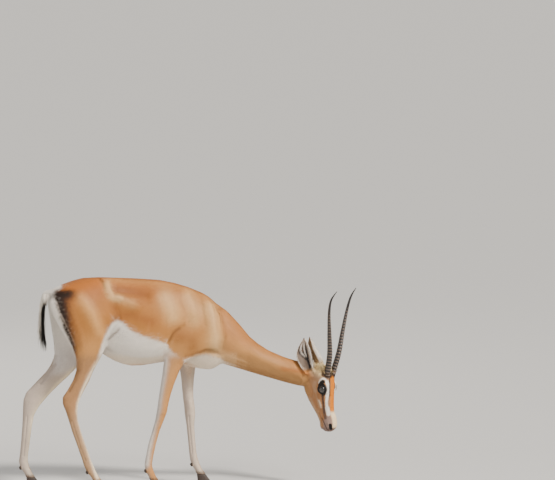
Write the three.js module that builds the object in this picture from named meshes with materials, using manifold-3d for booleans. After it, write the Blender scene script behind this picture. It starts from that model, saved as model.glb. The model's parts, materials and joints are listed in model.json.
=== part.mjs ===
// A life-size gazelle doe, walking with her head lowered and turned a little to her right.
// Millimetres. +X is the way she walks, +Y her left side, +Z up. The origin is on the floor under the middle of her box.
import * as THREE from "three";
import { mergeVertices } from "three/addons/utils/BufferGeometryUtils.js";
import Module from "manifold-3d";

const wasm = await Module();
wasm.setup();

// Driving sizes of the whole animal
const GAP = 0.3; // clearance between pieces that touch
const SEAM = 0.5; // width of the cut that parts two lengths of flesh
const HIP_Y = 60; // how far each hind leg's plane is from the middle
const HIND_HOOF_Y = 76;
const SHOULDER_Y = 62;
const FORE_HOOF_Y = 68;
const CORONET_Z = 42; // height of the top edge of the hooves
const HOCK_CUT_Z = 352; // where upper and lower hind legs are parted
const KNEE_CUT_Z = 346; // where upper and lower forelegs are parted
const HEAD_AT = new THREE.Vector3(596, -75, 467); // between the horn bases, on the forehead
const HEAD_TURN = THREE.MathUtils.degToRad(38); // how far the face is turned to her right
const HORN_RINGS = 24;
const EYE_RADIUS = 20;
const EYE_AT = { x: 55, y: 33, z: -27 }; // in the head's frame
const TAIL_LOCKS = 11;

const COLOUR = { fawn: 0xc08246, black: 0x1c1512, horn: 0x2a221e, hoof: 0x231d19, eye: 0x0d0907 };

// Makes a solid from a closed geometry whose faces point out.
function solid(geometry) {
  const merged = mergeVertices(geometry, 1e-4);
  const vertProperties = merged.attributes.position.array;
  const triVerts = new Uint32Array(merged.index.array);
  return new wasm.Manifold(new wasm.Mesh({ numProp: 3, vertProperties, triVerts }));
}

// A smooth curve through values that belong to evenly numbered stations.
function through(values, u) {
  const last = values.length - 1;
  const i = Math.min(Math.floor(u), last - 1);
  const t = u - i;
  const [a, b, c, d] = [i - 1, i, i + 1, i + 2].map((k) => values[Math.min(Math.max(k, 0), last)]);
  return b + 0.5 * t * (c - a + t * (2 * a - 5 * b + 4 * c - d + t * (3 * (b - c) + d - a)));
}

// Fills in the stations between the given ones, steps to each gap.
function refine(stations, steps) {
  const count = (stations.length - 1) * steps;
  return Array.from({ length: count + 1 }, (_, k) => stationAt(stations, k / steps));
}

// The station at a place between the given ones.
function stationAt(stations, u) {
  const place = Math.min(u, stations.length - 1);
  return Object.fromEntries(
    Object.keys(stations[0]).map((name) => [
      name,
      through(
        stations.map((s) => s[name]),
        place,
      ),
    ]),
  );
}

const { union, difference, intersection } = wasm.Manifold;
const largest = (made) => made.decompose().reduce((best, next) => (next.volume() > best.volume() ? next : best));

// Keeps what lies on the side of a plane that its normal points to.
function beyond(made, normal, point, margin = SEAM / 2) {
  const n = normal.clone().normalize();
  return made.trimByPlane(n.toArray(), n.dot(point) + margin);
}

// Joins rings of points, each with as many points, into a closed skin. Each end is closed by the triangles in
// cap, given as places in a ring, or else by a fan round its middle.
function skinOver(rings, cap) {
  const sides = rings[0].length;
  const points = rings.flat();
  const faces = [];
  rings.slice(1).forEach((_, r) => {
    for (let i = 0; i < sides; i++) {
      const j = (i + 1) % sides;
      const [a, b, c, d] = [r * sides + i, r * sides + j, (r + 1) * sides + j, (r + 1) * sides + i];
      faces.push(a, b, c, a, c, d);
    }
  });
  const top = (rings.length - 1) * sides;
  if (cap) {
    for (const [i, j, k] of cap) faces.push(k, j, i, top + i, top + j, top + k);
  } else {
    const middle = (ring) => ring.reduce((sum, p) => sum.add(p), new THREE.Vector3()).divideScalar(sides);
    points.push(middle(rings[0]), middle(rings.at(-1)));
    for (let i = 0; i < sides; i++) {
      const j = (i + 1) % sides;
      faces.push(points.length - 2, j, i, points.length - 1, top + i, top + j);
    }
  }
  const geometry = new THREE.BufferGeometry();
  geometry.setAttribute("position", new THREE.Float32BufferAttribute(points.flatMap((p) => p.toArray()), 3));
  geometry.setIndex(faces);
  const made = solid(geometry);
  if (made.volume() > 0) return made;
  for (let i = 0; i < faces.length; i += 3) [faces[i + 1], faces[i + 2]] = [faces[i + 2], faces[i + 1]];
  geometry.setIndex(faces);
  return solid(geometry);
}

// The outline of one slice: across runs from low to high, with its widest point at the share waist of the way up.
function slicePoint(angle, { low, high, half, waist = 0.5, square = 2 }) {
  const power = 2 / square;
  const c = Math.cos(angle);
  const s = Math.sin(angle);
  const middle = low + (high - low) * waist;
  const reach = s > 0 ? high - middle : middle - low;
  return {
    across: middle + reach * Math.sign(s) * Math.abs(s) ** power,
    side: half * Math.sign(c) * Math.abs(c) ** power,
  };
}

// A body of parallel slices. place turns (along, across, side) into a point. grow swells every slice.
function sliced(stations, { sides, steps, place, grow = 0 }) {
  const rings = refine(stations, steps).map((s) =>
    Array.from({ length: sides }, (_, i) => {
      const grown = { ...s, low: s.low - grow, high: s.high + grow, half: s.half + grow };
      const { across, side } = slicePoint((2 * Math.PI * i) / sides, grown);
      return place(s.along, across, side + (s.offset ?? 0));
    }),
  );
  return skinOver(rings);
}

const lengthwise = (along, across, side) => new THREE.Vector3(along, side, across);
const upright = (along, across, side) => new THREE.Vector3(across, side, along);

// A body swept along a bent path. Each station has x, y, z and its reach up, down and to the side.
function swept(stations, { sides, steps, up }) {
  const fine = refine(stations, steps);
  const centres = fine.map((s) => new THREE.Vector3(s.x, s.y, s.z));
  const rings = fine.map((s, k) => {
    const along = centres[Math.min(k + 1, fine.length - 1)].clone().sub(centres[Math.max(k - 1, 0)]);
    const across = up.clone().addScaledVector(along, -up.dot(along) / along.lengthSq()).normalize();
    const side = along.normalize().clone().cross(across);
    return Array.from({ length: sides }, (_, i) => {
      const angle = (2 * Math.PI * i) / sides;
      const rise = Math.sin(angle);
      return centres[k]
        .clone()
        .addScaledVector(across, rise * (rise > 0 ? s.above : s.below))
        .addScaledVector(side, Math.cos(angle) * s.half);
    });
  });
  return skinOver(rings);
}

// A stretched ball, turned about Z by turn.
function ball({ x, y, z, rx, ry, rz, turn = 0, sides = 16 }) {
  const geometry = new THREE.SphereGeometry(1, sides, Math.round(sides * 0.6));
  geometry.deleteAttribute("normal").deleteAttribute("uv");
  geometry.applyMatrix4(
    new THREE.Matrix4().compose(
      new THREE.Vector3(x, y, z),
      new THREE.Quaternion().setFromAxisAngle(new THREE.Vector3(0, 0, 1), turn),
      new THREE.Vector3(rx, ry, rz),
    ),
  );
  return solid(geometry);
}

// The trunk: stations from the tail head to the chest, as heights of belly and back
const trunk = sliced(
  [
    { along: -562, low: 782, high: 824, half: 22, waist: 0.5, square: 2 },
    { along: -545, low: 735, high: 840, half: 48, waist: 0.5, square: 2 },
    { along: -500, low: 670, high: 860, half: 72, waist: 0.55, square: 2 },
    { along: -440, low: 620, high: 878, half: 84, waist: 0.62, square: 1.9 },
    { along: -370, low: 572, high: 882, half: 88, waist: 0.62, square: 1.85 },
    { along: -300, low: 530, high: 880, half: 95, waist: 0.48, square: 1.85 },
    { along: -235, low: 511, high: 877, half: 110, waist: 0.42, square: 1.95 },
    { along: -165, low: 515, high: 872, half: 119, waist: 0.42, square: 2 },
    { along: -95, low: 524, high: 864, half: 114, waist: 0.45, square: 2 },
    { along: -30, low: 514, high: 848, half: 101, waist: 0.46, square: 2 },
    { along: 35, low: 497, high: 825, half: 86, waist: 0.44, square: 1.9 },
    { along: 90, low: 489, high: 797, half: 76, waist: 0.42, square: 1.9 },
    { along: 130, low: 504, high: 752, half: 65, waist: 0.42, square: 2 },
    { along: 158, low: 540, high: 690, half: 44, waist: 0.45, square: 2 },
    { along: 168, low: 585, high: 650, half: 18, waist: 0.5, square: 2 },
  ],
  { sides: 26, steps: 2, place: lengthwise },
);

// The neck, from inside the shoulders to inside the skull
const neck = swept(
  [
    { x: 20, y: 0, z: 680, above: 132, below: 150, half: 62 },
    { x: 120, y: 0, z: 642, above: 104, below: 122, half: 63 },
    { x: 226, y: 0, z: 574, above: 63, below: 86, half: 52 },
    { x: 300, y: -1, z: 528, above: 54, below: 62, half: 45 },
    { x: 370, y: -4, z: 497, above: 51, below: 53, half: 41 },
    { x: 430, y: -8, z: 476, above: 51, below: 50, half: 39 },
    { x: 482, y: -13, z: 462, above: 48, below: 48, half: 38 },
    { x: 528, y: -20, z: 450, above: 34, below: 36, half: 28 },
  ],
  { sides: 24, steps: 2, up: new THREE.Vector3(0, 0, 1) },
);

// The head has its own frame: +X to the nose, +Y her left, +Z out of the forehead, origin between the horns.
const headFrame = new THREE.Matrix4().makeBasis(
  new THREE.Vector3(0, 0, -1),
  new THREE.Vector3(Math.sin(HEAD_TURN), Math.cos(HEAD_TURN), 0),
  new THREE.Vector3(Math.cos(HEAD_TURN), -Math.sin(HEAD_TURN), 0),
);
headFrame.setPosition(HEAD_AT);
const onHead = (made) => made.transform(headFrame.elements);
const bothSides = (make) => [1, -1].map((side) => make(side));

const skull = sliced(
  [
    { along: -34, low: -96, high: -56, half: 16, waist: 0.5, square: 2 },
    { along: -28, low: -116, high: -32, half: 30, waist: 0.5, square: 2 },
    { along: -14, low: -126, high: -10, half: 39, waist: 0.6, square: 2.1 },
    { along: 5, low: -130, high: 0, half: 43, waist: 0.66, square: 2.2 },
    { along: 38, low: -132, high: 3, half: 43, waist: 0.68, square: 2.2 },
    { along: 70, low: -127, high: 2, half: 39, waist: 0.66, square: 2.2 },
    { along: 105, low: -113, high: 2, half: 34, waist: 0.62, square: 2.2 },
    { along: 140, low: -90, high: 3, half: 29, waist: 0.6, square: 2.2 },
    { along: 172, low: -69, high: 6, half: 25.5, waist: 0.58, square: 2.2 },
    { along: 198, low: -57, high: 10, half: 26, waist: 0.58, square: 2.2 },
    { along: 216, low: -49, high: 9, half: 24, waist: 0.56, square: 2.2 },
    { along: 229, low: -42, high: 2, half: 18, waist: 0.5, square: 2.1 },
    { along: 236, low: -32, high: -8, half: 9, waist: 0.5, square: 2 },
  ],
  { sides: 22, steps: 2, place: lengthwise },
);

const eyeBall = (side, grow = 0) =>
  ball({
    x: EYE_AT.x,
    y: side * EYE_AT.y,
    z: EYE_AT.z,
    rx: EYE_RADIUS + grow,
    ry: EYE_RADIUS + grow,
    rz: EYE_RADIUS + grow,
    sides: 14,
  });

// A lid is a roll of skin round the open eye.
const LID = { across: 18.5, tall: 16, thick: 0.19, out: 12.5, tip: 1.37 };
function eyeRim(side) {
  const geometry = new THREE.TorusGeometry(1, LID.thick, 5, 14);
  geometry.deleteAttribute("normal").deleteAttribute("uv");
  geometry.applyMatrix4(
    new THREE.Matrix4()
      .makeTranslation(EYE_AT.x, side * (EYE_AT.y + LID.out), EYE_AT.z + 1)
      .multiply(new THREE.Matrix4().makeRotationX(side * -LID.tip))
      .multiply(new THREE.Matrix4().makeScale(LID.across, LID.tall, LID.across)),
  );
  return solid(geometry);
}

const faceParts = bothSides((side) => [
  ball({ x: 50, y: side * 30, z: -24, rx: 34, ry: 16, rz: 25, sides: 11 }), // brow and orbit
  ball({ x: 52, y: side * 25, z: -88, rx: 48, ry: 15, rz: 34, sides: 10 }), // cheek muscle
  ball({ x: 208, y: side * 13, z: -6, rx: 17, ry: 12, rz: 13, sides: 9 }), // wing of the nostril
  ball({ x: 205, y: side * 9, z: -42, rx: 24, ry: 11, rz: 12, sides: 9 }), // lip
  eyeRim(side),
]).flat();

// The line of the mouth, from the front of the lips back along the cheek
const mouthLine = bothSides((side) =>
  sliced(
    [
      { along: 158, low: -46, high: -44.5, half: 3, offset: side * 27 },
      { along: 180, low: -40, high: -37.5, half: 6, offset: side * 25 },
      { along: 210, low: -33, high: -30.5, half: 8, offset: side * 22 },
      { along: 238, low: -27, high: -25, half: 9, offset: side * 11 },
    ],
    { sides: 6, steps: 2, place: lengthwise },
  ),
);
const nostrils = bothSides((side) =>
  ball({ x: 220, y: side * 18, z: -9, rx: 8, ry: 5, rz: 3.8, turn: side * -0.7, sides: 8 }),
);

// An ear is a leaf, rolled into a tube at its root and open at its outer side. Its root is a knob of the head.
const EAR = { length: 157, width: 32, wall: 3.2, root: 34, x: -4, y: 40, z: -84 };
function ear(side) {
  const rim = 7;
  const rings = 10;
  const out = new THREE.Vector3(0.1, side * 0.87, 0.45).normalize();
  const axis = new THREE.Vector3(-0.96, side * -0.11, -0.25).normalize();
  const across = axis.clone().cross(out).normalize();
  const face = across.clone().cross(axis).normalize();
  const start = new THREE.Vector3(EAR.x, side * EAR.y, EAR.z);
  const made = Array.from({ length: rings }, (_, k) => {
    const t = k / (rings - 1);
    const full = 0.42 + 0.58 * Math.sin(Math.PI * Math.min(1, 0.08 + t * 0.95)) ** 0.85;
    const half = EAR.width * full * (1 - t ** 7);
    const roll = THREE.MathUtils.lerp(1.9, 0.8, Math.min(1, t * 1.6));
    const centre = start
      .clone()
      .addScaledVector(axis, EAR.length * t)
      .addScaledVector(face, -6 * Math.sin(Math.PI * t));
    const radius = Math.max(half, 2) / Math.sin(Math.min(roll, 1.45));
    const wall = Math.min(EAR.wall, Math.max(0.9, half * 0.45));
    const arc = (r, angle) =>
      centre
        .clone()
        .addScaledVector(across, r * Math.sin(angle))
        .addScaledVector(face, radius * 0.72 - r * Math.cos(angle));
    const outer = Array.from({ length: rim }, (_, i) => arc(radius, roll * (-1 + (2 * i) / (rim - 1))));
    const inner = Array.from({ length: rim - 2 }, (_, i) =>
      arc(Math.max(radius - wall, 0.4), roll * (1 - (2 * (i + 1)) / (rim - 1)) * 0.97),
    );
    return [...outer, ...inner];
  });
  const facing = (i) => 2 * rim - 2 - i; // the place on the inner face that lies opposite place i of the outer
  const cap = [
    [0, 1, facing(1)],
    [rim - 2, rim - 1, facing(rim - 2)],
  ];
  for (let i = 1; i < rim - 2; i++) cap.push([i, i + 1, facing(i)], [i + 1, facing(i + 1), facing(i)]);
  const flap = skinOver(made, cap);
  const cut = start.clone().addScaledVector(axis, EAR.root);
  const inwards = axis.clone().negate();
  const knob = ball({ x: EAR.x + 2, y: side * (EAR.y - 5), z: EAR.z, rx: 20, ry: 15, rz: 18, sides: 10 });
  return { flap: beyond(flap, axis, cut), root: beyond(union([knob, flap]), inwards, cut) };
}

// A horn: slender, ringed for four fifths of its length, spreading, with its tip hooked forwards.
// It sits on a short seat of skin and bone that belongs to the head.
const HORN_SEAT = 7; // stations of the fine path below its foot
function horn(side) {
  const path = refine(
    [
      { x: 22, y: 21, z: -20, r: 12.6 },
      { x: -4, y: 24, z: -14, r: 12.4 },
      { x: -89, y: 38, z: 7, r: 11 },
      { x: -180, y: 56, z: 16, r: 8.6 },
      { x: -268, y: 75, z: 26, r: 6 },
      { x: -322, y: 83, z: 40, r: 4.2 },
      { x: -360, y: 80, z: 66, r: 1.2 },
    ],
    6,
  );
  const up = new THREE.Vector3(0, 0, 1);
  const point = (u) => {
    const { x, y, z } = stationAt(path, u);
    return new THREE.Vector3(x, side * y, z);
  };
  const foot = point(HORN_SEAT);
  const along = point(HORN_SEAT + 1).sub(foot).normalize();
  const ringed = 0.8;
  const stepsPerRing = 2;
  const smoothSteps = 5;
  const shares = [
    ...Array.from({ length: HORN_RINGS * stepsPerRing }, (_, k) => (ringed * k) / (HORN_RINGS * stepsPerRing)),
    ...Array.from({ length: smoothSteps + 1 }, (_, k) => ringed + ((1 - ringed) * k) / smoothSteps),
  ];
  const first = HORN_SEAT - 1;
  const stations = shares.map((share, k) => {
    const s = stationAt(path, first + share * (path.length - 1 - first));
    const r = s.r * (share < ringed && k % stepsPerRing === 1 ? 1.13 : 1);
    return { x: s.x, y: side * s.y, z: s.z, above: r, below: r, half: r * 0.88 };
  });
  const seatStations = [0, HORN_SEAT / 2, HORN_SEAT + 1].map((u) => {
    const s = stationAt(path, u);
    const r = s.r + 1.5;
    return { x: s.x, y: side * s.y, z: s.z, above: r, below: r, half: r * 0.9 };
  });
  return {
    shaft: beyond(swept(stations, { sides: 8, steps: 1, up }), along, foot),
    seat: beyond(swept(seatStations, { sides: 10, steps: 1, up }), along.clone().negate(), foot),
  };
}

// Legs: slices by height, each from its back edge (low) to its front edge (high), with its half width and
// how far its middle is from the animal's middle
const thigh = [
  { along: 846, low: -500, high: -440, half: 12, offset: 0.72 },
  { along: 826, low: -552, high: -392, half: 30, offset: 0.82 },
  { along: 790, low: -577, high: -350, half: 41, offset: 0.95 },
];
const hindRight = [
  { along: 740, low: -566, high: -312, half: 46, offset: 1 },
  { along: 695, low: -544, high: -308, half: 45, offset: 1 },
  { along: 650, low: -516, high: -322, half: 42, offset: 1.03 },
  { along: 600, low: -487, high: -339, half: 36, offset: 1.08 },
  { along: 550, low: -470, high: -364, half: 30, offset: 1.13 },
  { along: 505, low: -465, high: -391, half: 25, offset: 1.17 },
  { along: 465, low: -478, high: -409, half: 21, offset: 1.2 },
  { along: 428, low: -499, high: -429, half: 18.5, offset: 1.22 },
  { along: 396, low: -521, high: -446, half: 18, offset: 1.24 },
  { along: 368, low: -521, high: -456, half: 19, offset: 1.25 },
  { along: 338, low: -509, high: -460, half: 18, offset: 1.26 },
  { along: 304, low: -498, high: -460, half: 15, offset: 1.26 },
  { along: 250, low: -482, high: -445, half: 12.5, offset: 1.27 },
  { along: 190, low: -461, high: -425, half: 11.5, offset: 1.27 },
  { along: 138, low: -443, high: -407, half: 12, offset: 1.27 },
  { along: 110, low: -435, high: -396, half: 14.5, offset: 1.27 },
  { along: 86, low: -424, high: -386, half: 14.5, offset: 1.27 },
  { along: 62, low: -405, high: -372, half: 13, offset: 1.27 },
  { along: CORONET_Z, low: -396, high: -357, half: 15, offset: 1.27 },
];
const hindLeft = [
  { along: 740, low: -571, high: -318, half: 46, offset: 1 },
  { along: 695, low: -563, high: -324, half: 45, offset: 1 },
  { along: 650, low: -557, high: -345, half: 42, offset: 1.03 },
  { along: 600, low: -549, high: -376, half: 36, offset: 1.08 },
  { along: 550, low: -546, high: -408, half: 30, offset: 1.13 },
  { along: 510, low: -562, high: -440, half: 26, offset: 1.17 },
  { along: 470, low: -592, high: -478, half: 22, offset: 1.2 },
  { along: 432, low: -628, high: -520, half: 19.5, offset: 1.22 },
  { along: 396, low: -662, high: -557, half: 18.5, offset: 1.24 },
  { along: 366, low: -673, high: -585, half: 19, offset: 1.25 },
  { along: 336, low: -675, high: -610, half: 18, offset: 1.26 },
  { along: 302, low: -676, high: -629, half: 15, offset: 1.26 },
  { along: 250, low: -679, high: -639, half: 12.5, offset: 1.27 },
  { along: 190, low: -684, high: -647, half: 11.5, offset: 1.27 },
  { along: 138, low: -689, high: -655, half: 12, offset: 1.27 },
  { along: 110, low: -694, high: -656, half: 14.5, offset: 1.27 },
  { along: 86, low: -688, high: -650, half: 14.5, offset: 1.27 },
  { along: 62, low: -672, high: -639, half: 13, offset: 1.27 },
  { along: CORONET_Z, low: -664, high: -625, half: 15, offset: 1.27 },
];
const shoulder = [
  { along: 792, low: 30, high: 84, half: 9, offset: 0.6 },
  { along: 770, low: 4, high: 106, half: 19, offset: 0.75 },
  { along: 725, low: -26, high: 134, half: 29, offset: 0.9 },
  { along: 675, low: -52, high: 150, half: 34, offset: 0.98 },
  { along: 625, low: -78, high: 152, half: 35, offset: 1 },
  { along: 588, low: -98, high: 126, half: 33, offset: 1 },
];
const foreRight = [
  { along: 558, low: -104, high: 40, half: 30, offset: 1.02 },
  { along: 530, low: -105, high: -16, half: 26, offset: 1.04 },
  { along: 495, low: -108, high: -38, half: 23.5, offset: 1.06 },
  { along: 440, low: -117, high: -61, half: 20, offset: 1.08 },
  { along: 395, low: -124, high: -76, half: 18, offset: 1.09 },
  { along: 358, low: -129, high: -85, half: 18, offset: 1.1 },
  { along: 325, low: -134, high: -91, half: 18.5, offset: 1.1 },
  { along: 292, low: -140, high: -104, half: 16, offset: 1.1 },
  { along: 250, low: -152, high: -121, half: 12.5, offset: 1.1 },
  { along: 194, low: -169, high: -137, half: 11.5, offset: 1.1 },
  { along: 138, low: -180, high: -149, half: 12, offset: 1.1 },
  { along: 110, low: -185, high: -154, half: 14.5, offset: 1.1 },
  { along: 86, low: -182, high: -149, half: 14.5, offset: 1.1 },
  { along: 62, low: -170, high: -139, half: 13, offset: 1.1 },
  { along: CORONET_Z, low: -162, high: -125, half: 15, offset: 1.1 },
];
const foreLeft = [
  { along: 558, low: -62, high: 92, half: 30, offset: 1.02 },
  { along: 530, low: -40, high: 58, half: 26, offset: 1.04 },
  { along: 495, low: -26, high: 42, half: 23.5, offset: 1.06 },
  { along: 440, low: -18, high: 35, half: 20, offset: 1.08 },
  { along: 395, low: -14, high: 32, half: 18, offset: 1.09 },
  { along: 358, low: -10, high: 33, half: 18, offset: 1.1 },
  { along: 325, low: -6, high: 38, half: 18.5, offset: 1.1 },
  { along: 292, low: -3, high: 40, half: 16, offset: 1.1 },
  { along: 250, low: 3, high: 36, half: 12.5, offset: 1.1 },
  { along: 194, low: 9, high: 39, half: 11.5, offset: 1.1 },
  { along: 138, low: 14, high: 44, half: 12, offset: 1.1 },
  { along: 110, low: 17, high: 49, half: 14.5, offset: 1.1 },
  { along: 86, low: 23, high: 57, half: 14.5, offset: 1.1 },
  { along: 62, low: 37, high: 68, half: 13, offset: 1.1 },
  { along: CORONET_Z, low: 46, high: 84, half: 15, offset: 1.1 },
];

// Offsets in the leg tables are shares of the hip's or shoulder's distance from the middle.
const onSide = (stations, side, distance) => stations.map((s) => ({ ...s, offset: side * distance * s.offset }));

const legTables = {
  hind_right: onSide([...thigh, ...hindRight], -1, HIP_Y),
  hind_left: onSide([...thigh, ...hindLeft], 1, HIP_Y),
  fore_right: onSide([...shoulder, ...foreRight], -1, SHOULDER_Y),
  fore_left: onSide([...shoulder, ...foreLeft], 1, SHOULDER_Y),
};
const leg = (name) => sliced(legTables[name], { sides: 16, steps: 1, place: upright });

// A claw of the cloven hoof, flat underneath, with its toe drawn out to a point
function claw(name, side) {
  const { low, high, offset } = legTables[name].at(-1);
  const toe = 30; // how far the toe reaches past the coronet
  const stations = [
    { along: 0, low: low + 7, high: high + toe, half: 8.4, waist: 0.3, square: 1.9 },
    { along: 14, low: low + 4, high: high + toe * 0.66, half: 8.4, waist: 0.34, square: 2 },
    { along: CORONET_Z - GAP, low: low + 1, high: high - 1, half: 7.2, waist: 0.45, square: 2 },
  ].map((s) => ({ ...s, offset: offset + side * (s.half + 0.8) }));
  return sliced(stations, { sides: 12, steps: 2, place: upright });
}

function dewclaws(name) {
  const { low, offset } = legTables[name].at(-3);
  return bothSides((side) =>
    ball({ x: low + 1, y: offset + side * 9, z: 82, rx: 7, ry: 5, rz: 9, sides: 6 }),
  );
}

// The tail's core and its overlapping flat locks of long hair
const tailPath = [
  { x: -556, y: 0, z: 822, above: 14, below: 14, half: 17 },
  { x: -578, y: 0, z: 818, above: 13, below: 12, half: 15 },
  { x: -594, y: 0, z: 795, above: 9, below: 9, half: 12 },
  { x: -601, y: 0, z: 755, above: 6, below: 6, half: 9 },
  { x: -602, y: 0, z: 705, above: 4.5, below: 4.5, half: 7 },
  { x: -598, y: 0, z: 655, above: 3.5, below: 3.5, half: 5 },
  { x: -594, y: 0, z: 610, above: 1.5, below: 1.5, half: 2 },
];
function tailLocks() {
  let seed = 7;
  const draw = () => {
    seed = (seed * 16807) % 2147483647;
    return seed / 2147483647;
  };
  return Array.from({ length: TAIL_LOCKS }, (_, k) => {
    const share = k / (TAIL_LOCKS - 1);
    const root = stationAt(tailPath, 2.6 + 3 * share);
    const around = k * 2.4;
    const length = 50 + 22 * draw();
    const spread = 3 + 4 * draw();
    const out = new THREE.Vector3(-Math.abs(Math.cos(around)) * 0.8 - 0.1, Math.sin(around), 0).normalize();
    const stations = [0, 0.35, 0.7, 1].map((t, i) => {
      const p = new THREE.Vector3(root.x, root.y, root.z)
        .addScaledVector(out, spread * Math.sin(Math.PI * t * 0.8) + root.half * 0.3)
        .add(new THREE.Vector3(6 * t * t, 0, -length * t));
      const thick = [1.6, 1.4, 1, 0.35][i];
      return { x: p.x, y: p.y, z: p.z, above: thick, below: thick, half: [4, 5.5, 4, 0.5][i] };
    });
    return swept(stations, { sides: 4, steps: 1, up: out });
  });
}

// The flesh is modelled whole, then parted with thin cuts.
const NECK_CUT = { point: new THREE.Vector3(166, 0, 630), normal: new THREE.Vector3(0.93, 0, -0.36) };
const THROAT_CUT = { point: new THREE.Vector3(480, -24, 466), normal: new THREE.Vector3(0.95, -0.28, -0.13) };
const TAIL_CUT = { point: new THREE.Vector3(-580, 0, 815), normal: new THREE.Vector3(-0.94, 0, -0.34) };

const horns = bothSides(horn);
const ears = bothSides(ear);
const eyeRooms = bothSides((side) => eyeBall(side, GAP));
const tailUp = new THREE.Vector3(0.3, 0, 1);
const tailWhole = union([swept(tailPath, { sides: 10, steps: 2, up: tailUp }), ...tailLocks()]);
const headWhole = onHead(
  difference([
    union([skull, ...faceParts, ...horns.map((h) => h.seat), ...ears.map((e) => e.root)]),
    ...mouthLine,
    ...nostrils,
    ...eyeRooms,
  ]),
);
const legNames = Object.keys(legTables);
const flesh = union([
  trunk,
  neck,
  headWhole,
  beyond(tailWhole, TAIL_CUT.normal.clone().negate(), TAIL_CUT.point),
  ...legNames.flatMap((name) => [leg(name), ...dewclaws(name)]),
]);

// The room in which all flesh belongs to a leg: a little wider than the leg, open to its own side, and shallow
// beside the ribs so that the trunk keeps its core. It starts above the leg and ends under its coronet.
function legRoom(name, grow = 0) {
  const margin = 9;
  const outside = 160;
  const lid = 12;
  const stations = legTables[name].map(({ along, low, high, offset }) => {
    const inside = THREE.MathUtils.lerp(4, 48, THREE.MathUtils.smoothstep(along, 560, 690));
    return {
      along,
      low: low - margin,
      high: high + margin,
      half: (outside - inside) / 2,
      offset: (Math.sign(offset) * (outside + inside)) / 2,
      square: 7,
    };
  });
  const top = { ...stations[0], along: stations[0].along + lid };
  const bottom = { ...stations.at(-1), along: CORONET_Z - 1 };
  return sliced([top, ...stations, bottom], { sides: 12, steps: 1, place: upright, grow });
}

const nodes = {};
const colours = {};
function add(name, made, colour) {
  nodes[name] = largest(made);
  colours[name] = colour;
}

const body = difference([flesh, ...legNames.map((name) => legRoom(name, SEAM))]);
const behindNeck = NECK_CUT.normal.clone().negate();
add("torso", beyond(body, behindNeck, NECK_CUT.point), COLOUR.fawn);
const aheadOfTrunk = beyond(body, NECK_CUT.normal, NECK_CUT.point);
add("neck", beyond(aheadOfTrunk, THROAT_CUT.normal.clone().negate(), THROAT_CUT.point), COLOUR.fawn);
add("head", beyond(aheadOfTrunk, THROAT_CUT.normal, THROAT_CUT.point), COLOUR.fawn);
add("tail", beyond(tailWhole, TAIL_CUT.normal, TAIL_CUT.point), COLOUR.black);
["left", "right"].forEach((word, i) => {
  add("eye_" + word, onHead(eyeBall(i ? -1 : 1)), COLOUR.eye);
  add("ear_" + word, onHead(ears[i].flap), COLOUR.fawn);
  add("horn_" + word, onHead(horns[i].shaft), COLOUR.horn);
});

for (const name of legNames) {
  const cut = new THREE.Vector3(0, 0, name.startsWith("hind") ? HOCK_CUT_Z : KNEE_CUT_Z);
  const upwards = new THREE.Vector3(0, 0, 1);
  const whole = intersection([flesh, legRoom(name)]);
  add(name + "_upper", beyond(whole, upwards, cut), COLOUR.fawn);
  add(name + "_lower", beyond(whole, upwards.clone().negate(), cut), COLOUR.fawn);
  bothSides((side) => {
    const outer = name.endsWith("left") === side > 0;
    add(name + (outer ? "_hoof_outer" : "_hoof_inner"), claw(name, side), COLOUR.hoof);
  });
}

// Everything is moved so that the middle of the whole box stands over the origin.
const boxes = Object.values(nodes).map((made) => made.boundingBox());
const lowest = [0, 1, 2].map((axis) => Math.min(...boxes.map((box) => box.min[axis])));
const highest = [0, 1, 2].map((axis) => Math.max(...boxes.map((box) => box.max[axis])));
const shift = [-(lowest[0] + highest[0]) / 2, -(lowest[1] + highest[1]) / 2, -lowest[2]];

const gazelle = new THREE.Group();
for (const [name, made] of Object.entries(nodes)) {
  const { numProp, vertProperties, triVerts } = made.translate(shift).getMesh();
  const positions = new Float32Array((vertProperties.length / numProp) * 3);
  for (let i = 0; i < positions.length / 3; i++)
    positions.set(vertProperties.subarray(i * numProp, i * numProp + 3), i * 3);
  const geometry = new THREE.BufferGeometry();
  geometry.setAttribute("position", new THREE.BufferAttribute(positions, 3));
  geometry.setIndex(new THREE.BufferAttribute(triVerts, 1));
  const material = new THREE.MeshStandardMaterial({ color: colours[name], roughness: 0.8, metalness: 0 });
  const mesh = new THREE.Mesh(geometry, material);
  mesh.name = name;
  gazelle.add(mesh);
}
export default gazelle;
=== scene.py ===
# %% [markdown]
# # A gazelle doe, walking with lowered head
# This notebook dresses a packed, faceted model of the animal. The frame gives every piece its place: the
# skin is grown from the frame's own flesh, and the eyes, horns and hooves are set where the frame has
# them. Muscles and markings of the body are lines on the side view, and those of the face are lines in
# the head's own directions, all in metres of the same frame.

# %% Load the frame
import json
import math

import bpy
import numpy as np
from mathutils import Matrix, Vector
from mathutils.bvhtree import BVHTree

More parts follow.
